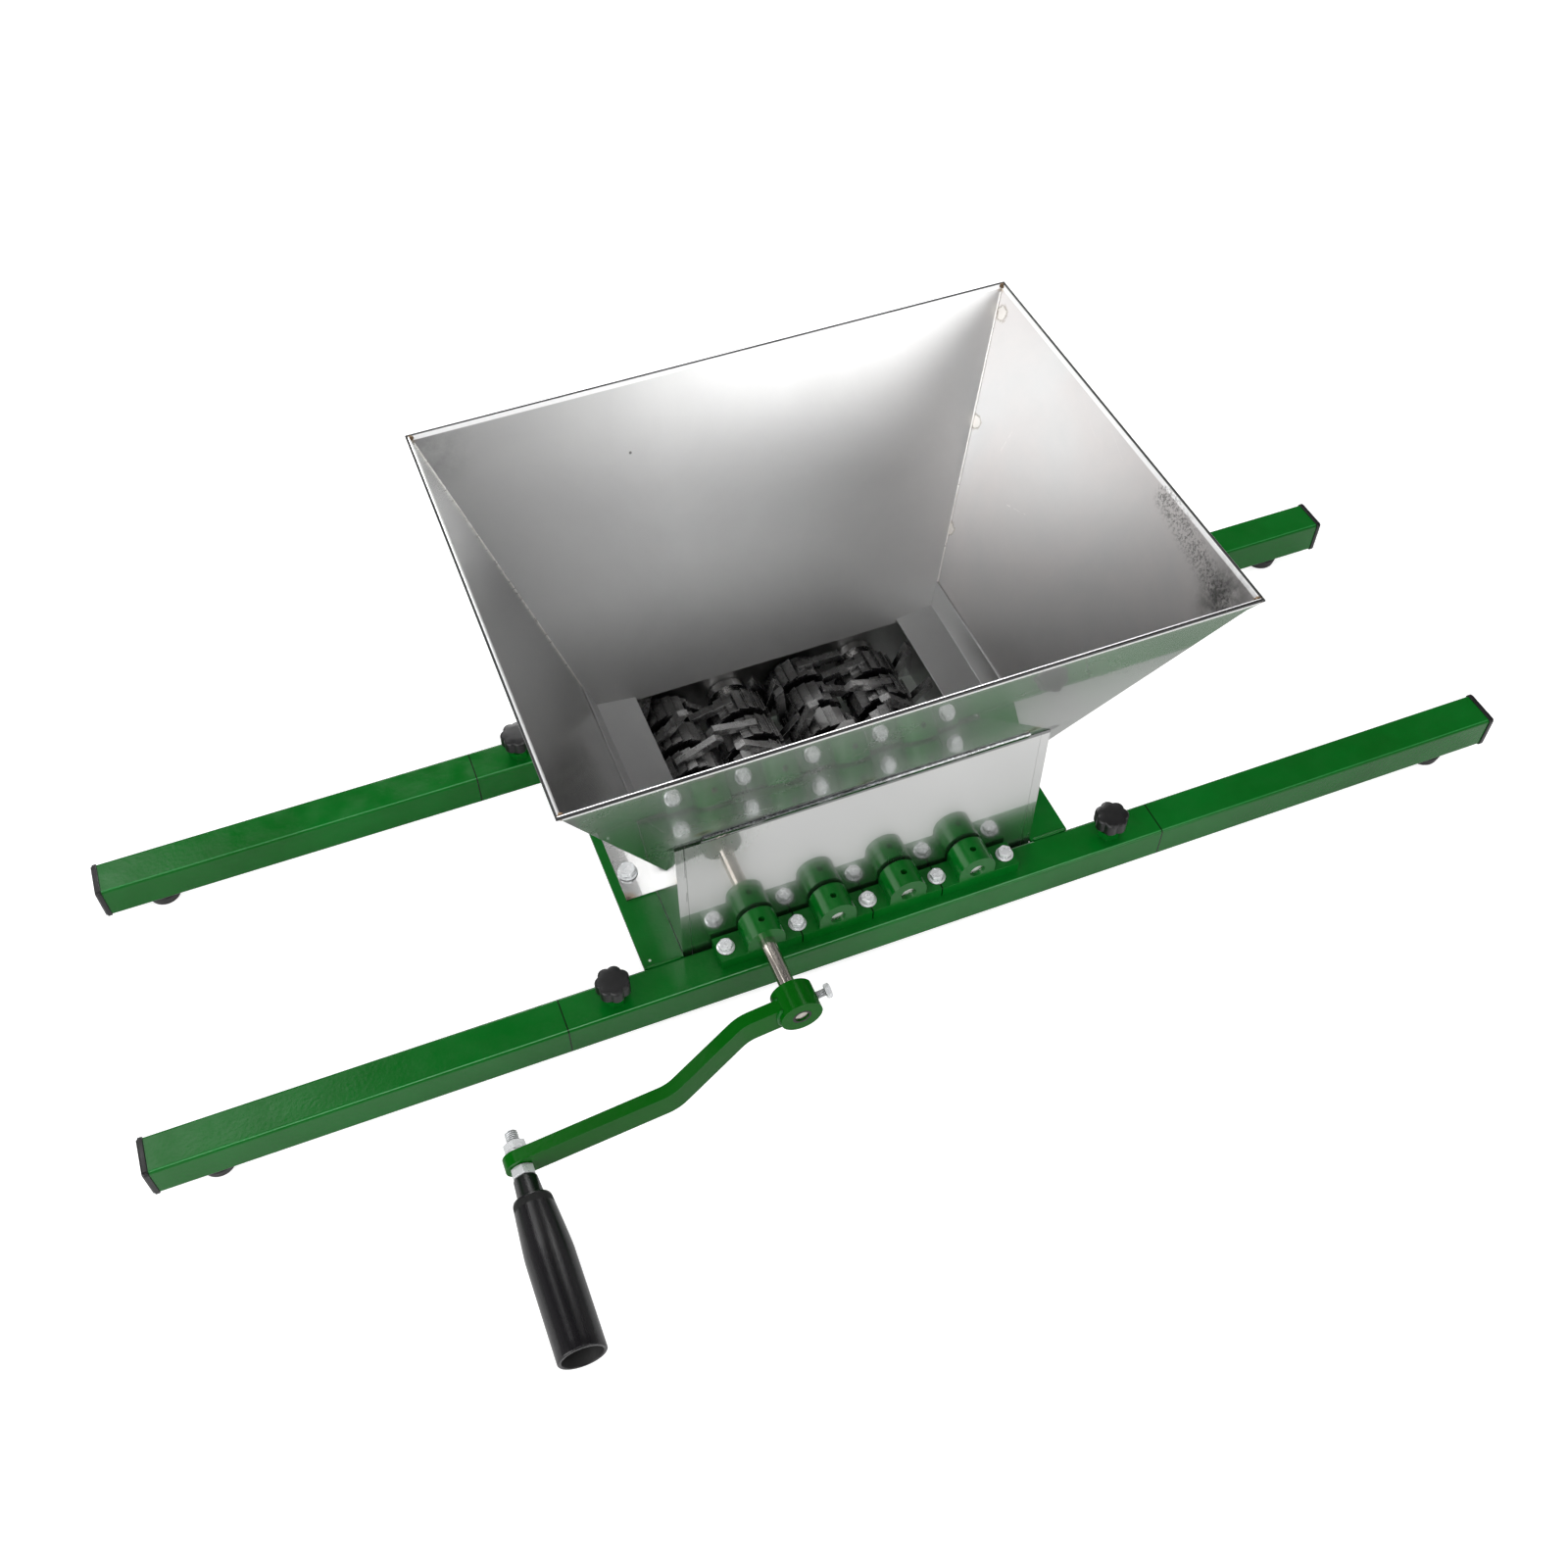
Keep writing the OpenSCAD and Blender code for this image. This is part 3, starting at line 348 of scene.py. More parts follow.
def spread(tree, value, fromLow, fromHigh, toLow=0.0, toHigh=1.0, smooth=False):
    inputs = {"Value": value, "From Min": fromLow, "From Max": fromHigh, "To Min": toLow,
              "To Max": toHigh}
    kind = "SMOOTHSTEP" if smooth else "LINEAR"
    return addNode(tree, "ShaderNodeMapRange", inputs, interpolation_type=kind).outputs["Result"]


def maths(tree, operation, a, b=0.0):
    return addNode(tree, "ShaderNodeMath", {0: a, 1: b}, operation=operation).outputs["Value"]


def vectors(tree, operation, a, b, output="Vector"):
    return addNode(tree, "ShaderNodeVectorMath", {0: a, 1: b}, operation=operation).outputs[output]


def mixColour(tree, share, a, b):
    return addNode(tree, "ShaderNodeMix", {0: share, 6: a, 7: b}, data_type="RGBA").outputs[2]


def overlay(tree, base, mask, share, colour):
    # The base with a colour over it, by a mask times its share.
    return mixColour(tree, maths(tree, "MULTIPLY", mask, share), base, colour)


def bump(tree, height, strength, distance, normal=None):
    inputs = {"Height": height, "Strength": strength, "Distance": distance}
    if normal is not None:
        inputs["Normal"] = normal
    return addNode(tree, "ShaderNodeBump", inputs).outputs["Normal"]


def least(tree, gaps):
    result = gaps[0]
    for gap in gaps[1:]:
        result = maths(tree, "MINIMUM", result, gap)
    return result


def fadeOut(tree, gap, radius, soft):
    return spread(tree, gap, radius / 1000, (radius + soft) / 1000, 1.0, 0.0, smooth=True)


def nearPoints(tree, points, radius, soft, wobble=0.25):
    # 1 close to any of the points (drawing mm), 0 away: smooth step of the least distance,
    # with an edge that wanders by the wobble's share of the radius.
    coords = objectPlace(tree)
    gap = least(tree, [vectors(tree, "DISTANCE", coords, tuple(point), "Value")
                       for point in toRow(points)])
    wander = wobble * radius / 1000
    edge = spread(tree, noise(tree, coords, 420, 3), 0.3, 0.7, -wander, wander)
    return fadeOut(tree, maths(tree, "ADD", gap, edge), radius, soft)


def nearLines(tree, lines, radius, soft):
    # 1 close to any of the lines (drawing mm), 0 away: distance to the nearest point between
    # a line's ends.
    coords = objectPlace(tree)
    gaps = []
    for start, end in lines:
        a, b = toRow([start, end])
        span = b - a
        off = vectors(tree, "SUBTRACT", coords, tuple(a))
        along = vectors(tree, "DOT_PRODUCT", off, tuple(span / (span @ span)), "Value")
        foot = addNode(tree, "ShaderNodeVectorMath",
                       {0: tuple(span), "Scale": spread(tree, along, 0, 1)},
                       operation="SCALE").outputs["Vector"]
        gaps.append(vectors(tree, "DISTANCE", off, foot, "Value"))
    return fadeOut(tree, least(tree, gaps), radius, soft)


def grey(level):
    return (level, level, level, 1)


# The edge colour is a lighter green: a painted highlight on broken edges and corners.
paintLook = dict(deep=(0.0003, 0.080, 0.0012, 1), mid=(0.0006, 0.102, 0.0028, 1),
                 dark=(0.0003, 0.086, 0.0055, 1), light=(0.0009, 0.118, 0.011, 1),
                 dust=(0.05, 0.16, 0.07, 1), dustShare=0.2, edge=(0.03, 0.26, 0.06, 1),
                 edgeShine=0.9, chipAt=(-140.4, 29.8, 0), chip=(0.5, 0.6, 0.5, 1),
                 joint=(0.0003, 0.008, 0.001, 1), jointHalf=0.25, jointFade=0.6, jointShare=0.92,
                 gloss=0.17, peel=0.14, peelDepth=0.0006, fine=0.12, fineDepth=0.0002)


def greenPaint(name, edge=False, joints=(), shine=0.29, deep=False):
    # Gloss enamel: soft clouds, dust specks, orange peel, a dark hairline at each joint left
    # and right. The edge kind is shinier, and its lighter green is a painted highlight over a
    # broken edge.
    look = paintLook
    material, tree, shader = newMaterial(name, **{
        "IOR": 1.5, "Specular IOR Level": look["edgeShine"] if edge else shine})
    coords = objectCoords(tree)
    clouds = noise(tree, coords, 14, 4, 0.6)
    base = mixColour(tree, spread(tree, clouds, 0.3, 0.7), look["deep" if deep else "dark"],
                     look["mid" if deep else "light"])
    specks = spread(tree, noise(tree, coords, 1500, 2, 0.7), 0.73, 0.79)
    base = overlay(tree, base, specks, look["dustShare"], look["dust"])
    base = mixColour(tree, nearPoints(tree, [look["chipAt"]], 0.5, 0.6), base, look["chip"])
    # Painted highlight: lighter green over the broken edge.
    if edge:
        base = mixColour(tree, spread(tree, clouds, 0.2, 0.8, 0.45, 0.75), base, look["edge"])
    across = addNode(tree, "ShaderNodeSeparateXYZ", {0: coords}).outputs["X"]
    for joint in joints:
        off = maths(tree, "SUBTRACT", maths(tree, "ABSOLUTE", across), joint / 1000)
        line = spread(tree, maths(tree, "ABSOLUTE", off), look["jointHalf"] / 1000,
                      look["jointFade"] / 1000, look["jointShare"], 0.0)
        base = mixColour(tree, line, base, look["joint"])
    rough = spread(tree, noise(tree, coords, 60, 5, 0.6), 0.3, 0.7, look["gloss"] - 0.05,
                   look["gloss"] + 0.1)
    peel = bump(tree, noise(tree, coords, 420, 2, 0.5), look["peel"], look["peelDepth"])
    fine = bump(tree, noise(tree, coords, 1400, 2, 0.5), look["fine"], look["fineDepth"], peel)
    return connected(material, shader, base, rough, fine)


sheetLook = dict(tint=(0.70, 0.70, 0.695, 1), shade=(0.63, 0.63, 0.63, 1),
                 warm=(0.74, 0.70, 0.69, 1), coatRough=0.035, coatIor=3.0, calm=0.08,
                 lineRough=0.025, lineBump=0.05, ripple=0.04, spotRough=0.12, spotHeight=0.5,
                 # The end values paint shade towards the rear wall's left end.
                 endFrom=-175, endTo=-40, endShare=0.42, endShadeColour=grey(0.05),
                 # The near-white hem colour is a painted highlight; the near-black one outside it
                 # is a painted dark reflection.
                 shadedCorner=(-180.0, 256.0, 240.0), hem=grey(0.95), hemHalf=2.3, hemFade=0.5,
                 hemMetallic=0.35, outline=grey(0.012), outlineShare=0.97)
# The lip's dark and pale greys paint the reflection and glints of its top edge.
lip = dict(half=119.5, topY=23.2, topZ=117.1, topHalf=0.9, topFade=0.3, bendY=25.2, bendZ=112.2,
           dark=(0.05, 0.055, 0.055, 1), pale=(0.4, 0.42, 0.43, 1))
# Each mark: radius, soft edge, strength, colour.
markLook = dict(ring=(5.0, 1.2, 0.6, (0.40, 0.35, 0.30, 1)),
                oval=(4.0, 1.0, 1.0, (0.93, 0.90, 0.86, 1)),
                straw=(3.0, 4.5, 0.75, (0.50, 0.36, 0.18, 1)),
                burnt=(1.4, 2.2, 0.9, (0.10, 0.052, 0.02, 1)),
                scratch=(0.12, 0.5, 1.0, (0.92, 0.9, 0.88, 1)),
                stain=(0.5, 0.7, 0.8, (0.06, 0.055, 0.05, 1)),
                dash=(0.15, 0.25, 0.85, grey(0.05)),
                # The next mark is a painted shadow under the chute lip's bend.
                bendShadow=(4.5, 0.6, 0.97, (0.005, 0.006, 0.005, 1)),
                speckles=(2.0, 9.0, 0.8, (0.16, 0.155, 0.15, 1)),
                # The corner mark is painted shade at the rear wall's top left corner.
                darkCloud=(2.0, 26.0, 0.9, grey(0.1)), corner=(2.0, 30.0, 0.3, grey(0.1)))


def marked(tree, base, near, places, mark, broken=1.0):
    # One of the marks over the base, near points or lines, broken up by a second mask.
    radius, soft, share, colour = markLook[mark]
    mask = maths(tree, "MULTIPLY", near(tree, places, radius, soft), broken)
    return overlay(tree, base, mask, share, colour)


def sheetSteel(name, rough, cloud, tint, burns=(), marks=(), grain=(1, 1, 1), polish=0.0,
               scratches=(), stains=(), dashes=(), bandLines=(), outline=(), hemLines=(),
               folded=False, paintedShadeEnd=False):
    # Rolled stainless sheet: cloudy sheen, faint rolling lines, heat tint at burns, oval spot
    # welds at marks, pale scratches, dark stains and dashes, a band of dark speckles, a painted
    # highlight along the rim's hem with a painted dark reflection outside it, the chute's folded
    # lip with a painted reflection on top and a painted shadow under its bend, and painted shade
    # towards the left end.
    look = sheetLook
    calm = look["calm"] if polish else 1.0
    material, tree, shader = newMaterial(name, **{
        "Metallic": 1.0, "Coat Weight": polish, "Coat Roughness": look["coatRough"],
        "Coat IOR": look["coatIor"]})
    coords = objectCoords(tree)
    clouds = noise(tree, coords, 9, 5, 0.62, 0.4)
    lines = noise(tree, objectCoords(tree, scale=grain), 260, 3, 0.65)
    base = mixColour(tree, spread(tree, clouds, 0.3, 0.72), look["shade"], tint)
    roughness = spread(tree, clouds, 0.25, 0.75, rough - cloud, rough + cloud)
    uneven = look["lineRough"] * calm
    roughness = maths(tree, "ADD", roughness, spread(tree, lines, 0.2, 0.8, -uneven, uneven))
    height = maths(tree, "ADD", maths(tree, "MULTIPLY", lines, 0.5), noise(tree, coords, 1200, 2))
    normal = bump(tree, height, look["lineBump"] * calm, 0.0003)
    if marks:
        oval = nearPoints(tree, marks, *markLook["oval"][:2])
        base = marked(tree, base, nearPoints, marks, "ring")
        base = mixColour(tree, oval, base, markLook["oval"][3])
        roughness = maths(tree, "ADD", roughness, maths(tree, "MULTIPLY", oval, look["spotRough"]))
        normal = bump(tree, oval, look["spotHeight"], 0.0004, normal)
    if burns:
        base = marked(tree, base, nearPoints, burns, "straw")
        base = marked(tree, base, nearPoints, burns, "burnt")
    if scratches:
        broken = spread(tree, noise(tree, coords, 300, 2), 0.42, 0.6)
        base = marked(tree, base, nearLines, scratches, "scratch", broken)
    if stains:
        base = marked(tree, base, nearPoints, stains, "stain")
    # Painted shade: darker towards the left end, with a cloud of it at the top left corner.
    if paintedShadeEnd:
        place = addNode(tree, "ShaderNodeSeparateXYZ", {0: coords}).outputs["X"]
        darker = spread(tree, place, look["endFrom"] / 1000, look["endTo"] / 1000,
                        look["endShare"], 0.0)
        base = mixColour(tree, darker, base, look["endShadeColour"])
        wisps = spread(tree, noise(tree, coords, 60, 5, 0.7), 0.38, 0.62)
        base = marked(tree, base, nearPoints, [look["shadedCorner"]], "corner", wisps)
    if folded:
        # The chute's lip: a painted reflection on its top edge, dull grey with pale glints, and a
        # painted shadow along the bend below.
        ends = np.array([(-lip["half"], 0, 0), (lip["half"], 0, 0)])
        top = nearLines(tree, [ends + (0, lip["topY"], lip["topZ"])], lip["topHalf"],
                        lip["topFade"])
        specks = spread(tree, noise(tree, coords, 700, 3, 0.7), 0.45, 0.62)
        base = mixColour(tree, top, base, mixColour(tree, specks, lip["dark"], lip["pale"]))
        base = marked(tree, base, nearLines, [ends + (0, lip["bendY"], lip["bendZ"])], "bendShadow")
    if outline:
        # A painted highlight along the hem: a near-white band that is less metallic and has no
        # coat.
        band = nearLines(tree, hemLines, look["hemHalf"], look["hemFade"])
        base = mixColour(tree, band, base, look["hem"])
        metallic = spread(tree, band, 0, 1, 1.0, look["hemMetallic"])
        tree.links.new(metallic, shader.inputs["Metallic"])
        tree.links.new(spread(tree, band, 0, 1, polish, 0.0), shader.inputs["Coat Weight"])
        # The painted dark reflection is thinner on the front and left rims than the right and rear.
        dark = maths(tree, "MAXIMUM", nearLines(tree, outline[::3], 1.1, 0.25),
                     nearLines(tree, outline[1:3], 1.9, 0.3))
        base = overlay(tree, base, dark, look["outlineShare"], look["outline"])
    if dashes:
        base = marked(tree, base, nearLines, dashes, "dash")
    if bandLines:
        dots = spread(tree, noise(tree, coords, 560, 4, 0.75), 0.48, 0.58)
        base = marked(tree, base, nearLines, bandLines, "speckles", dots)
        # A dark cloud at the band's front end.
        wisps = spread(tree, noise(tree, coords, 110, 5, 0.7), 0.35, 0.6)
        base = marked(tree, base, nearPoints, [bandLines[-1][1]], "darkCloud", wisps)
    if polish:
        ripples = bump(tree, noise(tree, coords, 25, 2), look["ripple"], 0.0004)
        tree.links.new(ripples, shader.inputs["Coat Normal"])
    return connected(material, shader, base, roughness, normal)


# Painted shade in hollows: how an Ambient Occlusion reading darkens a colour, and to what.
hollowShadeLook = dict(samples=12, shut=0.38, open=0.92, colour=(0.012, 0.011, 0.011, 1))
brownLook = dict(size=9.0, fade=3.0, share=0.8, colour=(0.2, 0.15, 0.11, 1))


def plainMetal(name, tint, shade, rough, vary=0.06, scale=140, grain=(1, 1, 1), metallic=1.0,
               dents=0.08, hollowShade=0.0, hollowShadeReach=12.0, browned=()):
    # Bare or plated metal: blotchy tint, uneven sheen and a fine tool grain. The hollow shade is
    # painted shade: an Ambient Occlusion node darkens the colour in hollows and between parts by
    # that share, and browned points carry heat tint and old oil.
    material, tree, shader = newMaterial(name, **{"Metallic": metallic})
    coords = objectCoords(tree, scale=grain)
    blotch = noise(tree, coords, scale, 4, 0.6)
    base = mixColour(tree, spread(tree, blotch, 0.32, 0.68), shade, tint)
    if hollowShade:
        hollow = addNode(tree, "ShaderNodeAmbientOcclusion", {"Distance": hollowShadeReach / 1000},
                         samples=hollowShadeLook["samples"]).outputs["AO"]
        dark = spread(tree, hollow, hollowShadeLook["shut"], hollowShadeLook["open"], hollowShade, 0.0)
        base = mixColour(tree, dark, base, hollowShadeLook["colour"])
    if browned:
        old = nearPoints(tree, browned, brownLook["size"], brownLook["fade"])
        base = overlay(tree, base, old, brownLook["share"], brownLook["colour"])
    sheen = spread(tree, noise(tree, coords, scale * 2.3, 3), 0.25, 0.75, rough - vary,
                   rough + vary)
    grained = bump(tree, noise(tree, coords, scale * 6, 3, 0.6), dents, 0.0003)
    return connected(material, shader, base, sheen, grained)


def blackMoulding(name, tint, shade, rough, grain=(1, 1, 1), texture=0.2, scale=900):
    # Moulded black plastic or rubber: a little dust in its colour, a fine texture on its skin.
    material, tree, shader = newMaterial(name, **{"IOR": 1.5})
    coords = objectCoords(tree, scale=grain)
    dust = spread(tree, noise(tree, coords, 120, 4, 0.65), 0.35, 0.7)
    sheen = spread(tree, noise(tree, coords, 70, 4), 0.3, 0.7, rough - 0.06, rough + 0.08)
    skin = bump(tree, noise(tree, coords, scale, 3, 0.6), texture, 0.0003)
    return connected(material, shader, mixColour(tree, dust, shade, tint), sheen, skin)


railJoint = layout["seamX"] + layout["seamGap"] / 2
paint = greenPaint("greenEnamel")
# The edge enamels paint a highlight on broken edges and rounded corners.
paintHighlightEdge = greenPaint("greenEnamelHighlightEdge", edge=True)
railPaint = greenPaint("railEnamel", joints=[railJoint])
railHighlightEdge = greenPaint("railEnamelHighlightEdge", edge=True, joints=[railJoint])
blockPaint = greenPaint("bearingEnamel", joints=[0.0, layout["shaftPitch"]])
armPaint = greenPaint("armEnamel", shine=0.1, deep=True)
# The zinc and the cutters carry painted shade in their hollows.
zinc = plainMetal("brightZinc", (0.92, 0.93, 0.94, 1), (0.84, 0.86, 0.88, 1), 0.27, 0.03, 90,
                  metallic=0.5, dents=0.01, hollowShade=0.85, hollowShadeReach=2.5)
# Cutters: grey metal darkened by painted shade in its hollows, with bevels that are worn bare and
# painted lighter as a highlight.
castFace = plainMetal("hollowShadedCutter", (0.78, 0.775, 0.77, 1), (0.56, 0.555, 0.55, 1), 0.27,
                      0.03, 70, metallic=0.88, dents=0.02, hollowShade=0.98, hollowShadeReach=15.0)
castWornHighlightEdge = plainMetal("wornAndHighlightedCutterEdge", (0.95, 0.94, 0.93, 1), (0.7, 0.69, 0.68, 1), 0.3, 0.08,
                      300, metallic=0.6, dents=0.05)
weldScale = plainMetal("weldScale", (0.30, 0.19, 0.10, 1), (0.06, 0.045, 0.035, 1), 0.45, 0.12,
                       700, metallic=0.8, dents=0.3)
weldBright = plainMetal("weldBright", (0.90, 0.89, 0.87, 1), (0.74, 0.72, 0.69, 1), 0.3, 0.06,
                        200, dents=0.05)
alongShaft = (2.4, 0.25, 2.4)
turnedSteel = plainMetal("turnedSteel", (0.78, 0.74, 0.69, 1), (0.48, 0.43, 0.38, 1), 0.2, 0.06,
                         90, grain=alongShaft, dents=0.1)
shaftSteel = plainMetal("shaftSteel", (0.86, 0.85, 0.84, 1), (0.6, 0.59, 0.58, 1), 0.24, 0.06,
                        90, grain=alongShaft,
                        browned=[(x, 31.0, layout["shaftZ"]) for x in layout["shaftX"][1:]])
gearSteel = plainMetal("gearSteel", (0.42, 0.41, 0.40, 1), (0.26, 0.25, 0.24, 1), 0.34, 0.08, 160)
gripPlastic = blackMoulding("satinGrip", (0.0065, 0.0055, 0.0075, 1), (0.0025, 0.0022, 0.003, 1),
                            0.24, grain=(3, 0.12, 3), texture=0.16, scale=380)
# The hollow's plastic is painted darker as shade inside the grip's mouth.
gripHollowShade = blackMoulding("gripHollowShade", grey(0.004), grey(0.002), 0.75, texture=0.1)
knobPlastic = blackMoulding("grainedKnob", (0.009, 0.0085, 0.0095, 1), (0.004, 0.004, 0.0045, 1),
                            0.34, texture=0.15, scale=1300)
rubber = blackMoulding("dullRubber", (0.009, 0.0085, 0.009, 1), grey(0.004), 0.55, texture=0.25)
print("finishes made")

brokenEdge = dict(rail=0.25, arm=0.9, plate=0.5, bearing=0.35, wall=0.22, guard=0.3, cutter=0.5,
                  shaft=0.3, washer=0.3, cap=0.5, foot=0.3)
cornerFaces = dict(upwards=0.82, forwards=-0.15, sideways=0.3)


def highlightedCorner(normals, centres):
    # The upper faces of a tube's rounded front corner, which take the edge paint's painted
    # highlight.
    return ((normals[:, 2] > cornerFaces["upwards"]) & (normals[:, 1] < cornerFaces["forwards"])
            & (np.abs(normals[:, 0]) < cornerFaces["sideways"]))


sliding = [f"{end}_{side}_extension" for end in ("front", "rear") for side in ("left", "right")]
for node in ["front_rail", "rear_rail"] + sliding:
    finishNode(node, [railPaint, railHighlightEdge], brokenEdge["rail"], angle=40, pick=highlightedCorner,
               closeSeam=node in sliding)
for node in ("left_cross_plate", "right_cross_plate"):
    finishNode(node, [paint, paintHighlightEdge], brokenEdge["plate"], steps=3, angle=30, edgeSlot=1)
finishNode("crank_arm", [armPaint, paintHighlightEdge], brokenEdge["arm"], steps=3, angle=30, edgeSlot=1)
for end in ("front", "rear"):
    for number in range(1, 5):
        finishNode(f"{end}_bearing_{number}", [blockPaint, paintHighlightEdge], brokenEdge["bearing"],
                   angle=40, edgeSlot=1)

hopper = dict(rimX=193.0, rimY=150.5, rimZ=249.3, wall=1.2, facesIn=0.2)
around = ((-1, -1), (1, -1), (1, 1), (-1, 1), (-1, -1))
rimRing = [(sx * hopper["rimX"], layout["midY"] + sy * hopper["rimY"], hopper["rimZ"])
           for sx, sy in around]
hemRing = [(sx * (hopper["rimX"] - hopper["wall"]),
            layout["midY"] + sy * (hopper["rimY"] - hopper["wall"]),
            hopper["rimZ"] - hopper["wall"]) for sx, sy in around]
rimCorners = [(x, y, hopper["rimZ"]) for x, y, _ in hemRing[:-1]]
# The rim's outer edges carry a painted dark reflection, and the hem lines carry a painted
# highlight.
rimLines = dict(outline=list(zip(rimRing[:-1], rimRing[1:])),
                hemLines=list(zip(hemRing[:-1], hemRing[1:])))
inwardOf = dict(hopper_front_wall=(0, 1, 0), hopper_rear_wall=(0, -1, 0),
                hopper_left_wall=(1, 0, 0), hopper_right_wall=(-1, 0, 0),
                chute_front_wall=(0, 1, 0), chute_rear_wall=(0, -1, 0),
                chute_left_wall=(1, 0, 0), chute_right_wall=(-1, 0, 0))
sheetMarks = dict(
    spotWelds=[(184.6, 253.6, 236.5), (161.2, 229.6, 175.6), (137.0, 205.6, 112.0)],
    scratches=[((168.3, 194.9, 191.6), (162.6, 196.3, 176.6)),
               ((185.6, 139.9, 236.6), (183.0, 120.2, 230.0)),
               ((188.3, 120.1, 243.7), (185.9, 101.2, 237.5)),
               ((158.0, 150.0, 164.5), (155.5, 168.0, 158.0))],
    rimBand=[((188.3, 60.0, 243.5), (185.9, 20.0, 237.5)),
             ((185.9, 20.0, 237.5), (184.0, -12.0, 232.0))],
    tabCorner=[(-138.6, 76.8, 1.5)], rearStains=[(-85, 265, 249), (-64, 248, 209)],
    lipTacks=[(-103.5, 19.9, 126.7), (103.5, 21.1, 123.8), (-3.6, 20.0, 126.4)],
    guardTacks=[(123.4, 191.1, 74.1), (121.1, 194.5, 68.1), (123.7, 132.0, 74.9)],
    dashes=[((-113.9, 26.75, 107.8), (-114.3, 26.75, 79.3)),
            ((-114.0, 26.75, 63.9), (-114.4, 26.75, 54.8))])
crossGrain, sideGrain, uprightGrain = (0.2, 1, 3), (3, 0.2, 3), (3, 3, 0.15)
satin = sheetSteel("satinSheet", 0.34, 0.05, sheetLook["tint"], rimCorners, grain=crossGrain,
                   **rimLines)
# The rear wall's inside carries painted shade towards its left end.
satinRear = sheetSteel("satinSheetRear", 0.35, 0.05, sheetLook["tint"], rimCorners,
                       grain=crossGrain, stains=sheetMarks["rearStains"], paintedShadeEnd=True,
                       **rimLines)
satinRight = sheetSteel("satinSheetSpotWelded", 0.38, 0.05, sheetLook["warm"],
                        rimCorners + sheetMarks["guardTacks"][:2], sheetMarks["spotWelds"],
                        grain=sideGrain, scratches=sheetMarks["scratches"],
                        bandLines=sheetMarks["rimBand"], **rimLines)
satinLeft = sheetSteel("satinSheetLeft", 0.23, 0.04, sheetLook["tint"], rimCorners,
                       grain=sideGrain, **rimLines)
bright = sheetSteel("brightSheet", 0.27, 0.01, (0.66, 0.66, 0.65, 1),
                    rimCorners + sheetMarks["tabCorner"] + sheetMarks["lipTacks"],
                    grain=uprightGrain, polish=1.0, folded=True, dashes=sheetMarks["dashes"],
                    **rimLines)
insideOf = dict(hopper_right_wall=satinRight, hopper_left_wall=satinLeft,
                hopper_rear_wall=satinRear)
for node, inward in inwardOf.items():
    finishNode(node, [insideOf.get(node, satin), bright], brokenEdge["wall"], angle=30,
               pick=lambda normals, centres, way=np.array(inward, float):
               normals @ way < hopper["facesIn"])
for node in ("left_guard_plate", "right_guard_plate"):
    finishNode(node, [satin], brokenEdge["guard"], angle=25)
print("frame and sheet metal done")

for name in ("drive", "second", "third", "fourth"):
    finishNode(name + "_cutters", [castFace, castWornHighlightEdge], brokenEdge["cutter"], steps=1, angle=18,
               edgeSlot=1)
    finishNode(name + "_shaft", [turnedSteel if name == "drive" else shaftSteel],
               brokenEdge["shaft"], angle=35)
    finishNode(name + "_gear", [gearSteel], 0, angle=30)

bearingBolt = dict(size=5.0, flats=8.0, head=4.6, flange=11.4, flangeT=1.2, seat=8.7, shank=15.2,
                   pitch=0.8, rows=dict(front=16.0, rear=217.5), turns=(0.3, 1.1, 0.75, 0.15, 0.9))
tabBolt = dict(size=6.0, flats=10.0, head=5.2, flange=13.2, flangeT=1.4, seat=1.5, shank=12.5,
               pitch=1.0, nut=5.0, plate=3.0, inset=12.9, spacing=40.0, chuteHalf=119.5,
               turn=0.4, turnStep=0.3)
dished = np.array([0.47, 0.5, 0.5, 0.42, 0.36])  # radii of a flange's rings, by its diameter
upwards = (0, 0, 1)


def flangeBolt(spec, x, y, turn):
    # Head, dished flange and threaded shank of one bolt that stands on its seat.
    spin = (np.cos(turn), np.sin(turn), 0)
    t = spec["flangeT"]
    flange = turned([0.0, 0.25, t * 0.75, t + 0.35, t + 0.5], dished * spec["flange"])
    head = hexBody(spec["flats"], t * 0.6, spec["head"], chamferLow=False)
    rod = threadedRod(spec["size"], spec["pitch"], -spec["shank"], 0.3)
    return [placed(part, (x, y, spec["seat"]), spin, upwards) for part in (flange, head, rod)]


for end, y in bearingBolt["rows"].items():
    parts = []
    for i, turn in enumerate(bearingBolt["turns"]):
        parts += flangeBolt(bearingBolt, (i - 2) * layout["shaftPitch"], y, turn)
    addPiece(end + "_bearing_bolts_finished", parts, zinc, "frame",
             [end + "_bearing_bolts"], sharp=18)
parts = []
for s in (-1, 1):
    for k in (-1, 1):
        x = s * (tabBolt["chuteHalf"] + tabBolt["inset"])
        y = layout["midY"] + k * tabBolt["spacing"] / 2
        parts += flangeBolt(tabBolt, x, y, tabBolt["turn"] + k * tabBolt["turnStep"])
        nut = hexBody(tabBolt["flats"], -tabBolt["plate"] - tabBolt["nut"], -tabBolt["plate"],
                      chamferHigh=False)
        parts.append(placed(nut, (x, y, 0), (1, 0.4, 0), upwards))
addPiece("chute_mount_bolts_finished", parts, zinc, "frame", ["chute_mount_bolts"],
         sharp=18)
plated = dict(left=-0.0475, front=0.05)  # metres; the drive shaft's front ring is plated
finishNode("thrust_washers", [rubber, zinc], brokenEdge["washer"],
           pick=lambda normals, centres: (centres[:, 0] < plated["left"])
           & (centres[:, 1] < plated["front"]))
print("rollers and fasteners done")

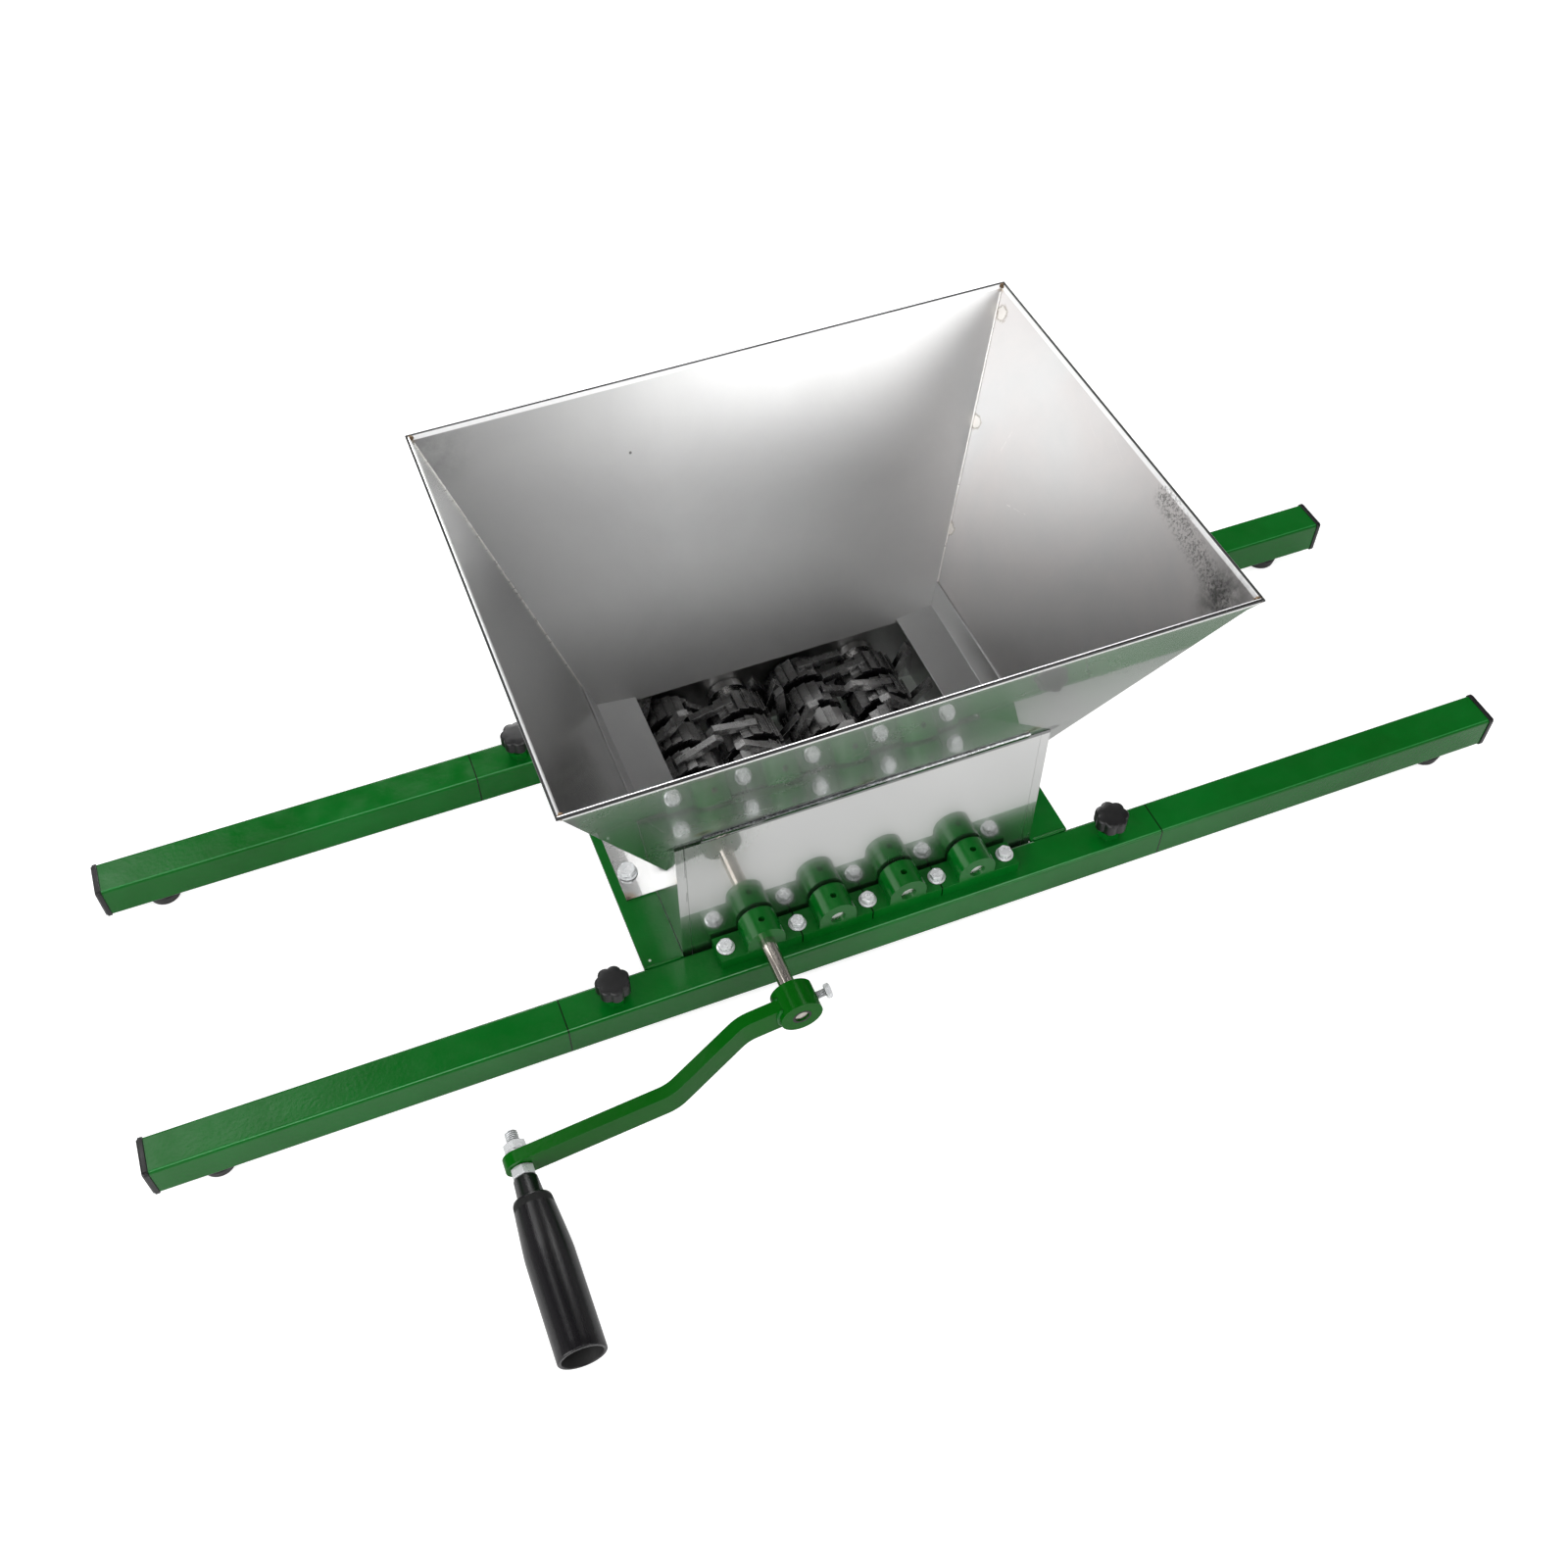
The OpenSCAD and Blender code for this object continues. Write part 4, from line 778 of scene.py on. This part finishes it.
crank = dict(restAngle=8.65, hub=26.5, hubLen=18.5, reach=49.75, arm=184.0, armFront=4.0, armT=8.0,
             joggle=22.5, screw=5.0, screwPitch=0.8, screwFrom=5.1, screwOut=5.5, screwFlats=8.0,
             screwHead=3.6, stud=8.0, studPitch=1.25, nutFlats=13.0, nut=6.5, frontNut=6.9,
             washer=16.0, washerT=1.6, studPast=8.1, gripGap=0.3, gripLen=109.5, hollow=36.0,
             headFlats=14.0, head=5.0, seat=0.1, frontNutTurn=(0.54, 0, 0.84),
             backNutTurn=(0.44, 0, 0.9))
angle = radians(crank["restAngle"])
armWay = np.array([-np.cos(angle), 0, -np.sin(angle)])
hubCentre = np.array([layout["shaftX"][0], 0, layout["shaftZ"]])
innerY = -(crank["reach"] - crank["armFront"] - crank["armT"])
outerY = innerY - crank["joggle"]
frontY = outerY - crank["armT"]
nutBack = outerY + crank["washerT"]
handleAt = hubCentre + armWay * crank["arm"]
gripY = frontY - crank["frontNut"] - crank["gripGap"]
backwards, sideways = (0, 1, 0), (1, 0, 0)

screwAt = hubCentre + (0, -crank["reach"] + crank["hubLen"] / 2, 0)
tip = crank["hub"] / 2 + crank["screwOut"]
setScrew = threadedRod(crank["screw"], crank["screwPitch"], crank["screwFrom"], tip + 0.4)
setHead = hexBody(crank["screwFlats"], tip, tip + crank["screwHead"])
addPiece("crank_set_screw_finished",
         [placed(setScrew, screwAt, backwards, -armWay),
          placed(setHead, screwAt, (0.2, 1, 0.1), -armWay)],
         zinc, "drive_roller", ["crank_set_screw"])

headY = gripY - crank["gripLen"] + crank["hollow"] - crank["gripGap"]
stud = threadedRod(crank["stud"], crank["studPitch"], headY - 0.2,
                   nutBack + crank["nut"] + crank["studPast"])
studHead = hexBody(crank["headFlats"], headY - crank["head"], headY)
addPiece("handle_bolt_finished",
         [placed(stud, handleAt, sideways, backwards),
          placed(studHead, handleAt, (1, 0, 0.3), backwards)],
         zinc, "drive_roller", ["handle_bolt"])
frontNut = hexBody(crank["nutFlats"], frontY - crank["frontNut"], frontY - crank["seat"])
backNut = hexBody(crank["nutFlats"], nutBack + crank["seat"], nutBack + crank["nut"])
washer = turned([outerY + crank["seat"], outerY + 0.25, nutBack - 0.15, nutBack],
                np.array([0.485, 0.5, 0.5, 0.485]) * crank["washer"])
addPiece("handle_nuts_finished",
         [placed(frontNut, handleAt, crank["frontNutTurn"], backwards),
          placed(backNut, handleAt, crank["backNutTurn"], backwards),
          placed(washer, handleAt, sideways, backwards)],
         zinc, "drive_roller", ["handle_nuts"], sharp=18)

grip = dict(end=28.6, bulge=28.8, shoulder=23.1, neck=14.4, neckRoot=16.1, neckLen=13.5,
            taper=32.5, wall=2.3, bore=8.1, belly=0.06, steps=96)
length, neckLen, boreR = crank["gripLen"], grip["neckLen"], grip["bore"] / 2
neckR, rootR, shoulderR = grip["neck"] / 2, grip["neckRoot"] / 2, grip["shoulder"] / 2
endR, bulgeR, barrelAt = grip["end"] / 2, grip["bulge"] / 2, neckLen + grip["taper"]
hollowR, floorAt = endR - grip["wall"], length - crank["hollow"]
# The profile's stations are (distance from the arm's end, radius), with rounded corners.
neck = [(0.0, boreR), (0.0, neckR - 0.5), (0.5, neckR), (neckLen - 0.6, rootR),
        (neckLen - 0.1, rootR + 0.5), (neckLen, rootR + 0.9), (neckLen, shoulderR - 1.0),
        (neckLen + 0.3, shoulderR - 0.3), (neckLen + 1.1, shoulderR + 0.05)]
s = np.linspace(0.06, 1, 16)
swell = np.column_stack([neckLen + s * grip["taper"],
                         shoulderR + (bulgeR - shoulderR) * (s - grip["belly"] * s ** 6)])
s = np.linspace(0.05, 0.985, 12)
barrel = np.column_stack([barrelAt + s * (length - barrelAt), bulgeR - s * (bulgeR - endR)])
mouth = [(length - 0.5, endR - 0.12), (length - 0.1, endR - 0.5), (length, endR - 0.9),
         (length, hollowR + 0.3), (length - 0.3, hollowR), (floorAt + 0.6, hollowR - 0.3),
         (floorAt, hollowR - 0.9), (floorAt, boreR)]
profile = np.vstack([neck, swell, barrel, mouth])
shell, shellFaces = gridPart(turned(profile[:, 0], profile[:, 1], grip["steps"]), False, False)
first = np.arange(grip["steps"])
last = first + (len(profile) - 1) * grip["steps"]
shellFaces += np.stack([last, np.roll(last, -1), np.roll(first, -1), first], -1).tolist()
gripTurn = np.array([[1, 0, 0], [0, 0, 1], [0, -1, 0]], float)
gripShell = toRow(shell @ gripTurn + handleAt + (0, gripY, 0))
gripPiece = addPiece("handle_grip_finished", [(gripShell, shellFaces)], gripPlastic, "grip",
                     ["handle_grip"], sharp=50)
# The faces inside the hollow end take a rougher finish, painted darker as shade.
off = ofFaces(gripPiece.data, "center") - toRow(handleAt)
inHollow = np.hypot(off[:, 0], off[:, 2]) < (hollowR + 0.1) / 1000
inHollow &= off[:, 1] < (gripY - neckLen - 2) / 1000
gripPiece.data.materials.append(gripHollowShade)
gripPiece.data.polygons.foreach_set("material_index", inHollow.astype(np.int32))

knob = dict(size=22.0, lobes=7, valley=1.5, collar=12.4, collarH=4.6, height=10.0, screw=6.0,
            screwPitch=1.0, screwLow=-1.6, nutH=5.5, gap=0.4, x=168.9, footRound=1.0,
            topRound=2.0, topDrop=2.3, steps=168, flute=0.9, rows=dict(front=12.5, rear=221.0),
            turns=dict(left=0.25, right=0.6))


def knobParts(x, y, turn):
    # Lobed head: r = size * (1 - valley * (1 - |cos(lobes t / 2)|)) inside a rounded profile,
    # flutes fading on top.
    base = knob["nutH"] + knob["gap"]
    low, high = base + knob["collarH"], base + knob["collarH"] + knob["height"]
    half, collarR = knob["size"] / 2, knob["collar"] / 2
    foot, top = knob["footRound"], knob["topRound"]
    t = circle(knob["steps"])
    flute = 1 - np.abs(np.cos(knob["lobes"] * (t - turn) / 2)) ** knob["flute"]
    edge = np.linspace(0, np.pi / 2, 8)
    z = np.concatenate([[base, base + 0.2, low - 0.02, low], low + foot * (1 - np.cos(edge)),
                        np.linspace(low + 1.4, high - 2.6, 6),
                        high - knob["topDrop"] + top * np.sin(edge),
                        [high - 0.12, high - 0.03, high]])
    r = np.concatenate([[collarR - 0.2, collarR, collarR, collarR + 0.6],
                        half - foot + foot * np.sin(edge), np.full(6, half),
                        half - top + top * np.cos(edge), [half - 3.2, half - 5.5, 0.6]])
    depth = np.interp(r, [half - 4.5, half - 1.6, half], [0, 0.75, 1.0]) * knob["valley"]
    depth[:4] = 0  # the collar is round
    head = aroundZ(r[:, None] - depth[:, None] * flute[None, :], z, t)
    rod = threadedRod(knob["screw"], knob["screwPitch"], knob["screwLow"], base + 0.4)
    return [placed(part, (x, y, 0), sideways, upwards) for part in (head, rod)]


for end, y in knob["rows"].items():
    for side, s in (("left", -1), ("right", 1)):
        name = f"{end}_{side}"
        addPiece(name + "_knob_finished", knobParts(s * knob["x"], y, knob["turns"][side]),
                 knobPlastic, name + "_clamp", [name + "_knob"], sharp=60)
        finishNode(name + "_end_cap", [knobPlastic], brokenEdge["cap"])
        finishNode(name + "_foot", [rubber], brokenEdge["foot"])
print("crank, handle and knobs done")

hubWeld = dict(spread=62, steps=40, past=0.3, half=9.6, radius=1.3, pitch=1.4, seed=3)
t = np.linspace(radians(-hubWeld["spread"]), radians(hubWeld["spread"]), hubWeld["steps"])
armUp = np.array([-armWay[2], 0, armWay[0]])
arc = np.outer(np.cos(t), armWay) + np.outer(np.sin(t), armUp)
keep = np.abs(np.sin(t) * crank["hub"] / 2) < hubWeld["half"]
ring = (hubCentre + arc * (crank["hub"] / 2 + hubWeld["past"]))[keep]
addBeads("crank_hub_welds",
         [weldBead(ring + (0, y, 0), hubWeld["radius"], hubWeld["pitch"], hubWeld["seed"])
          for y in (innerY + 0.2, innerY - crank["armT"] - 0.1)],
         paint, "drive_roller")

plateWeld = dict(places=((121.0, 0.2), (133.0, 0.1), (144.5, 0.2)), rows=(25.0, 208.5),
                 radius=0.9, pitch=1.5)
addBeads("cross_plate_welds",
         [weldBead([(s * x, y, z) for x, z in plateWeld["places"]], plateWeld["radius"],
                   plateWeld["pitch"], seed=int(y) + s)
          for s in (-1, 1) for y in plateWeld["rows"]],
         paint, "frame")


def weldDrop(at, radius, lift, way=(0, 0, 1)):
    # Weld drop: r = radius cos(latitude) with a slight lobed edge, height = lift sin(latitude).
    latitude = np.linspace(-1.45, 1.45, 11)
    drop = turned(lift * np.sin(latitude), radius * np.cos(latitude), 20,
                  lambda t: 1 + 0.07 * np.sin(3 * t + at[1]))
    return placed(drop, at, (1, 0.2, 0) if way[2] else (0, 0.1, 1), way)


# The hopper's seams run from the chute's corner (foot) up to the rim.
seam = dict(footX=119.5, footXat=60.6, footY=90.0, footYat=110.6, inside=1.6, low=78.0,
            middle=160.0, belowRim=4.0, radius=0.5, pitch=2.4, uneven=0.1)
rimInner = {k: hopper[k] - hopper["wall"] for k in ("rimX", "rimY", "rimZ")}
slopeX = (rimInner["rimX"] - seam["footX"]) / (rimInner["rimZ"] - seam["footXat"])
slopeY = (rimInner["rimY"] - seam["footY"]) / (rimInner["rimZ"] - seam["footYat"])
beads = []
for sx in (-1, 1):
    for sy in (-1, 1):
        ends = [(sx * (seam["footX"] + slopeX * (z - seam["footXat"]) - seam["inside"]),
                 layout["midY"]
                 + sy * (seam["footY"] + slopeY * (z - seam["footYat"]) - seam["inside"]), z)
                for z in (seam["low"], seam["middle"], hopper["rimZ"] - seam["belowRim"])]
        beads.append(weldBead(ends, seam["radius"], seam["pitch"], 5 + sx + 2 * sy,
                              seam["uneven"]))
addBeads("hopper_corner_welds", beads, weldBright, "frame")

cornerDrop = dict(inside=2.4, down=1.5, radius=2.3, lift=1.4)
tackDrop = dict(out=0.4, radius=1.5, lift=0.8, lean=(0.93, 0, 0.36))
drops = [weldDrop((sx * (hopper["rimX"] - cornerDrop["inside"]),
                   layout["midY"] + sy * (hopper["rimY"] - cornerDrop["inside"]),
                   hopper["rimZ"] - cornerDrop["down"]), cornerDrop["radius"], cornerDrop["lift"])
         for sx in (-1, 1) for sy in (-1, 1)]
for s, tacks in ((1, sheetMarks["guardTacks"]), (-1, sheetMarks["guardTacks"][::2])):
    drops += [weldDrop((s * (x - tackDrop["out"]), y, z), tackDrop["radius"], tackDrop["lift"],
                       tuple(np.multiply(tackDrop["lean"], (-s, 1, 1)))) for x, y, z in tacks]
addPiece("sheet_weld_drops", drops, weldScale, "frame", sharp=80)

# A painted shadow of the gap around the shaft's end in the hub: a thin dark ring, a small
# section carried round the bore.
boreShadowRing = dict(y=-49.73, inner=4.5, outer=6.0, thick=0.06, steps=48)
t = circle(boreShadowRing["steps"])[:, None]
radial = np.array([boreShadowRing["inner"], boreShadowRing["inner"], boreShadowRing["outer"], boreShadowRing["outer"]])
depth = np.array([0.0, -boreShadowRing["thick"], -boreShadowRing["thick"], 0.0])
rings = np.stack([hubCentre[0] + np.cos(t) * radial, boreShadowRing["y"] + depth + 0 * t,
                  hubCentre[2] + np.sin(t) * radial], -1)
verts, faces = gridPart(np.concatenate([rings, rings[:1]]), False, False)
addPiece("hub_bore_shadow_ring", [(toRow(verts), faces)], rubber, "drive_roller",
         sharp=30)
print("welds done")

studio = dict(floor=6.0, ambient=0.5, glossLow=0.34, glossHigh=0.09, skyFrom=0.25, skyTo=0.75,
              floorSeen=0.75, floorMirrored=0.24, floorShaded=0.0, matt=grey(0.6), midY=0.0756,
              shadeX=(0.30, 0.40), shadeY=(0.108, 0.135), darkX=(0.132, 0.136),
              darkY=(0.102, 0.106))  # metres
scene = bpy.context.scene
scene.view_settings.view_transform = "Standard"


def shinyRay(tree, path):
    return maths(tree, "MAXIMUM", path.outputs["Is Glossy Ray"],
                 path.outputs["Is Transmission Ray"])


def background(tree, strength):
    return addNode(tree, "ShaderNodeBackground",
                   {"Color": grey(1), "Strength": strength}).outputs[0]


def mixShader(tree, share, a, b):
    return addNode(tree, "ShaderNodeMixShader", {0: share, 1: a, 2: b}).outputs[0]


# The camera sees white, gloss sees a soft sky that is brighter low down, the rest is even.
world = bpy.data.worlds.new("studio")
scene.world = world
world.use_nodes = True
tree = world.node_tree
tree.nodes.clear()
path = addNode(tree, "ShaderNodeLightPath")
direction = addNode(tree, "ShaderNodeTexCoord").outputs["Generated"]
heightOf = addNode(tree, "ShaderNodeSeparateXYZ", {0: direction}).outputs["Z"]
sky = spread(tree, heightOf, studio["skyFrom"], studio["skyTo"], studio["glossLow"],
             studio["glossHigh"], smooth=True)
lit = mixShader(tree, shinyRay(tree, path), background(tree, studio["ambient"]),
                background(tree, sky))
seen = mixShader(tree, path.outputs["Is Camera Ray"], lit, background(tree, 1.0))
addNode(tree, "ShaderNodeOutputWorld", {"Surface": seen})

f = studio["floor"]
floorMesh = bpy.data.meshes.new("floor")
floorMesh.from_pydata([(-f, -f, 0), (f, -f, 0), (f, f, 0), (-f, f, 0)], [], [(0, 1, 2, 3)])
floor = addObject("floor", floorMesh)
material = bpy.data.materials.new("paleFloor")
material.use_nodes = True
floorMesh.materials.append(material)
tree = material.node_tree
tree.nodes.clear()
path = addNode(tree, "ShaderNodeLightPath")
place = addNode(tree, "ShaderNodeSeparateXYZ", {0: objectPlace(tree)})
offX = maths(tree, "ABSOLUTE", place.outputs["X"])
offY = maths(tree, "ABSOLUTE", maths(tree, "SUBTRACT", place.outputs["Y"], studio["midY"]))


def outside(xRange, yRange):
    # 0 inside a rectangle around the object's middle, 1 outside it.
    return maths(tree, "MAXIMUM", spread(tree, offX, *xRange), spread(tree, offY, *yRange))


# Between the rails the mirrored floor is in the object's own shade, and the glow stops
# inside the chute, so that no light comes up between the rollers.
shade = spread(tree, outside(studio["shadeX"], studio["shadeY"]), 0, 1, studio["floorShaded"],
               studio["floorMirrored"])
glowBy = maths(tree, "ADD",
               maths(tree, "MULTIPLY", path.outputs["Is Camera Ray"], studio["floorSeen"]),
               maths(tree, "MULTIPLY", shinyRay(tree, path), shade))
strength = maths(tree, "MULTIPLY", glowBy, outside(studio["darkX"], studio["darkY"]))
matt = addNode(tree, "ShaderNodeBsdfDiffuse", {"Color": studio["matt"]}).outputs[0]
glow = addNode(tree, "ShaderNodeEmission", {"Color": grey(1), "Strength": strength}).outputs[0]
both = addNode(tree, "ShaderNodeAddShader", {0: matt, 1: glow}).outputs[0]
addNode(tree, "ShaderNodeOutputMaterial", {"Surface": both})

lampAim = Vector((0, 0, 0.12))
lamps = [dict(name="keySoftbox", at=(-1.85, -1.35, 0.95), size=(2.2, 1.6), power=38),
         dict(name="frontRightSoftbox", at=(0.95, -2.1, 0.62), size=(0.6, 0.8), power=8.8),
         dict(name="topStripBox", at=(0.1, -0.7, 2.0), size=(1.9, 0.32), power=8),
         dict(name="backLeftPanel", at=(-1.097, 1.395, 2.133), size=(1.1, 0.84), power=8.5),
         dict(name="backFill", at=(0.35, 1.7, 1.0), size=(1.2, 0.6), power=23)]
for lamp in lamps:
    data = bpy.data.lights.new(lamp["name"], "AREA")
    data.shape = "RECTANGLE"
    data.size, data.size_y = lamp["size"]
    data.energy = lamp["power"]
    light = addObject(lamp["name"], data)
    light.location = lamp["at"]
    light.rotation_euler = (lampAim - Vector(lamp["at"])).to_track_quat("-Z", "Y").to_euler()

view = dict(at=(-0.268670, -0.550286, 0.909148), turn=(38.599470, 1.614676, -20.568455),
            lens=38.08035, sensor=36.0, shiftX=0.039676, shiftY=-0.007727)
cameraData = bpy.data.cameras.new("photoView")
cameraData.sensor_width = view["sensor"]
cameraData.lens = view["lens"]
cameraData.shift_x = view["shiftX"]
cameraData.shift_y = view["shiftY"]
camera = addObject("photoView", cameraData)
camera.location = view["at"]
camera.rotation_euler = [radians(a) for a in view["turn"]]
scene.camera = camera
print("studio and camera done")
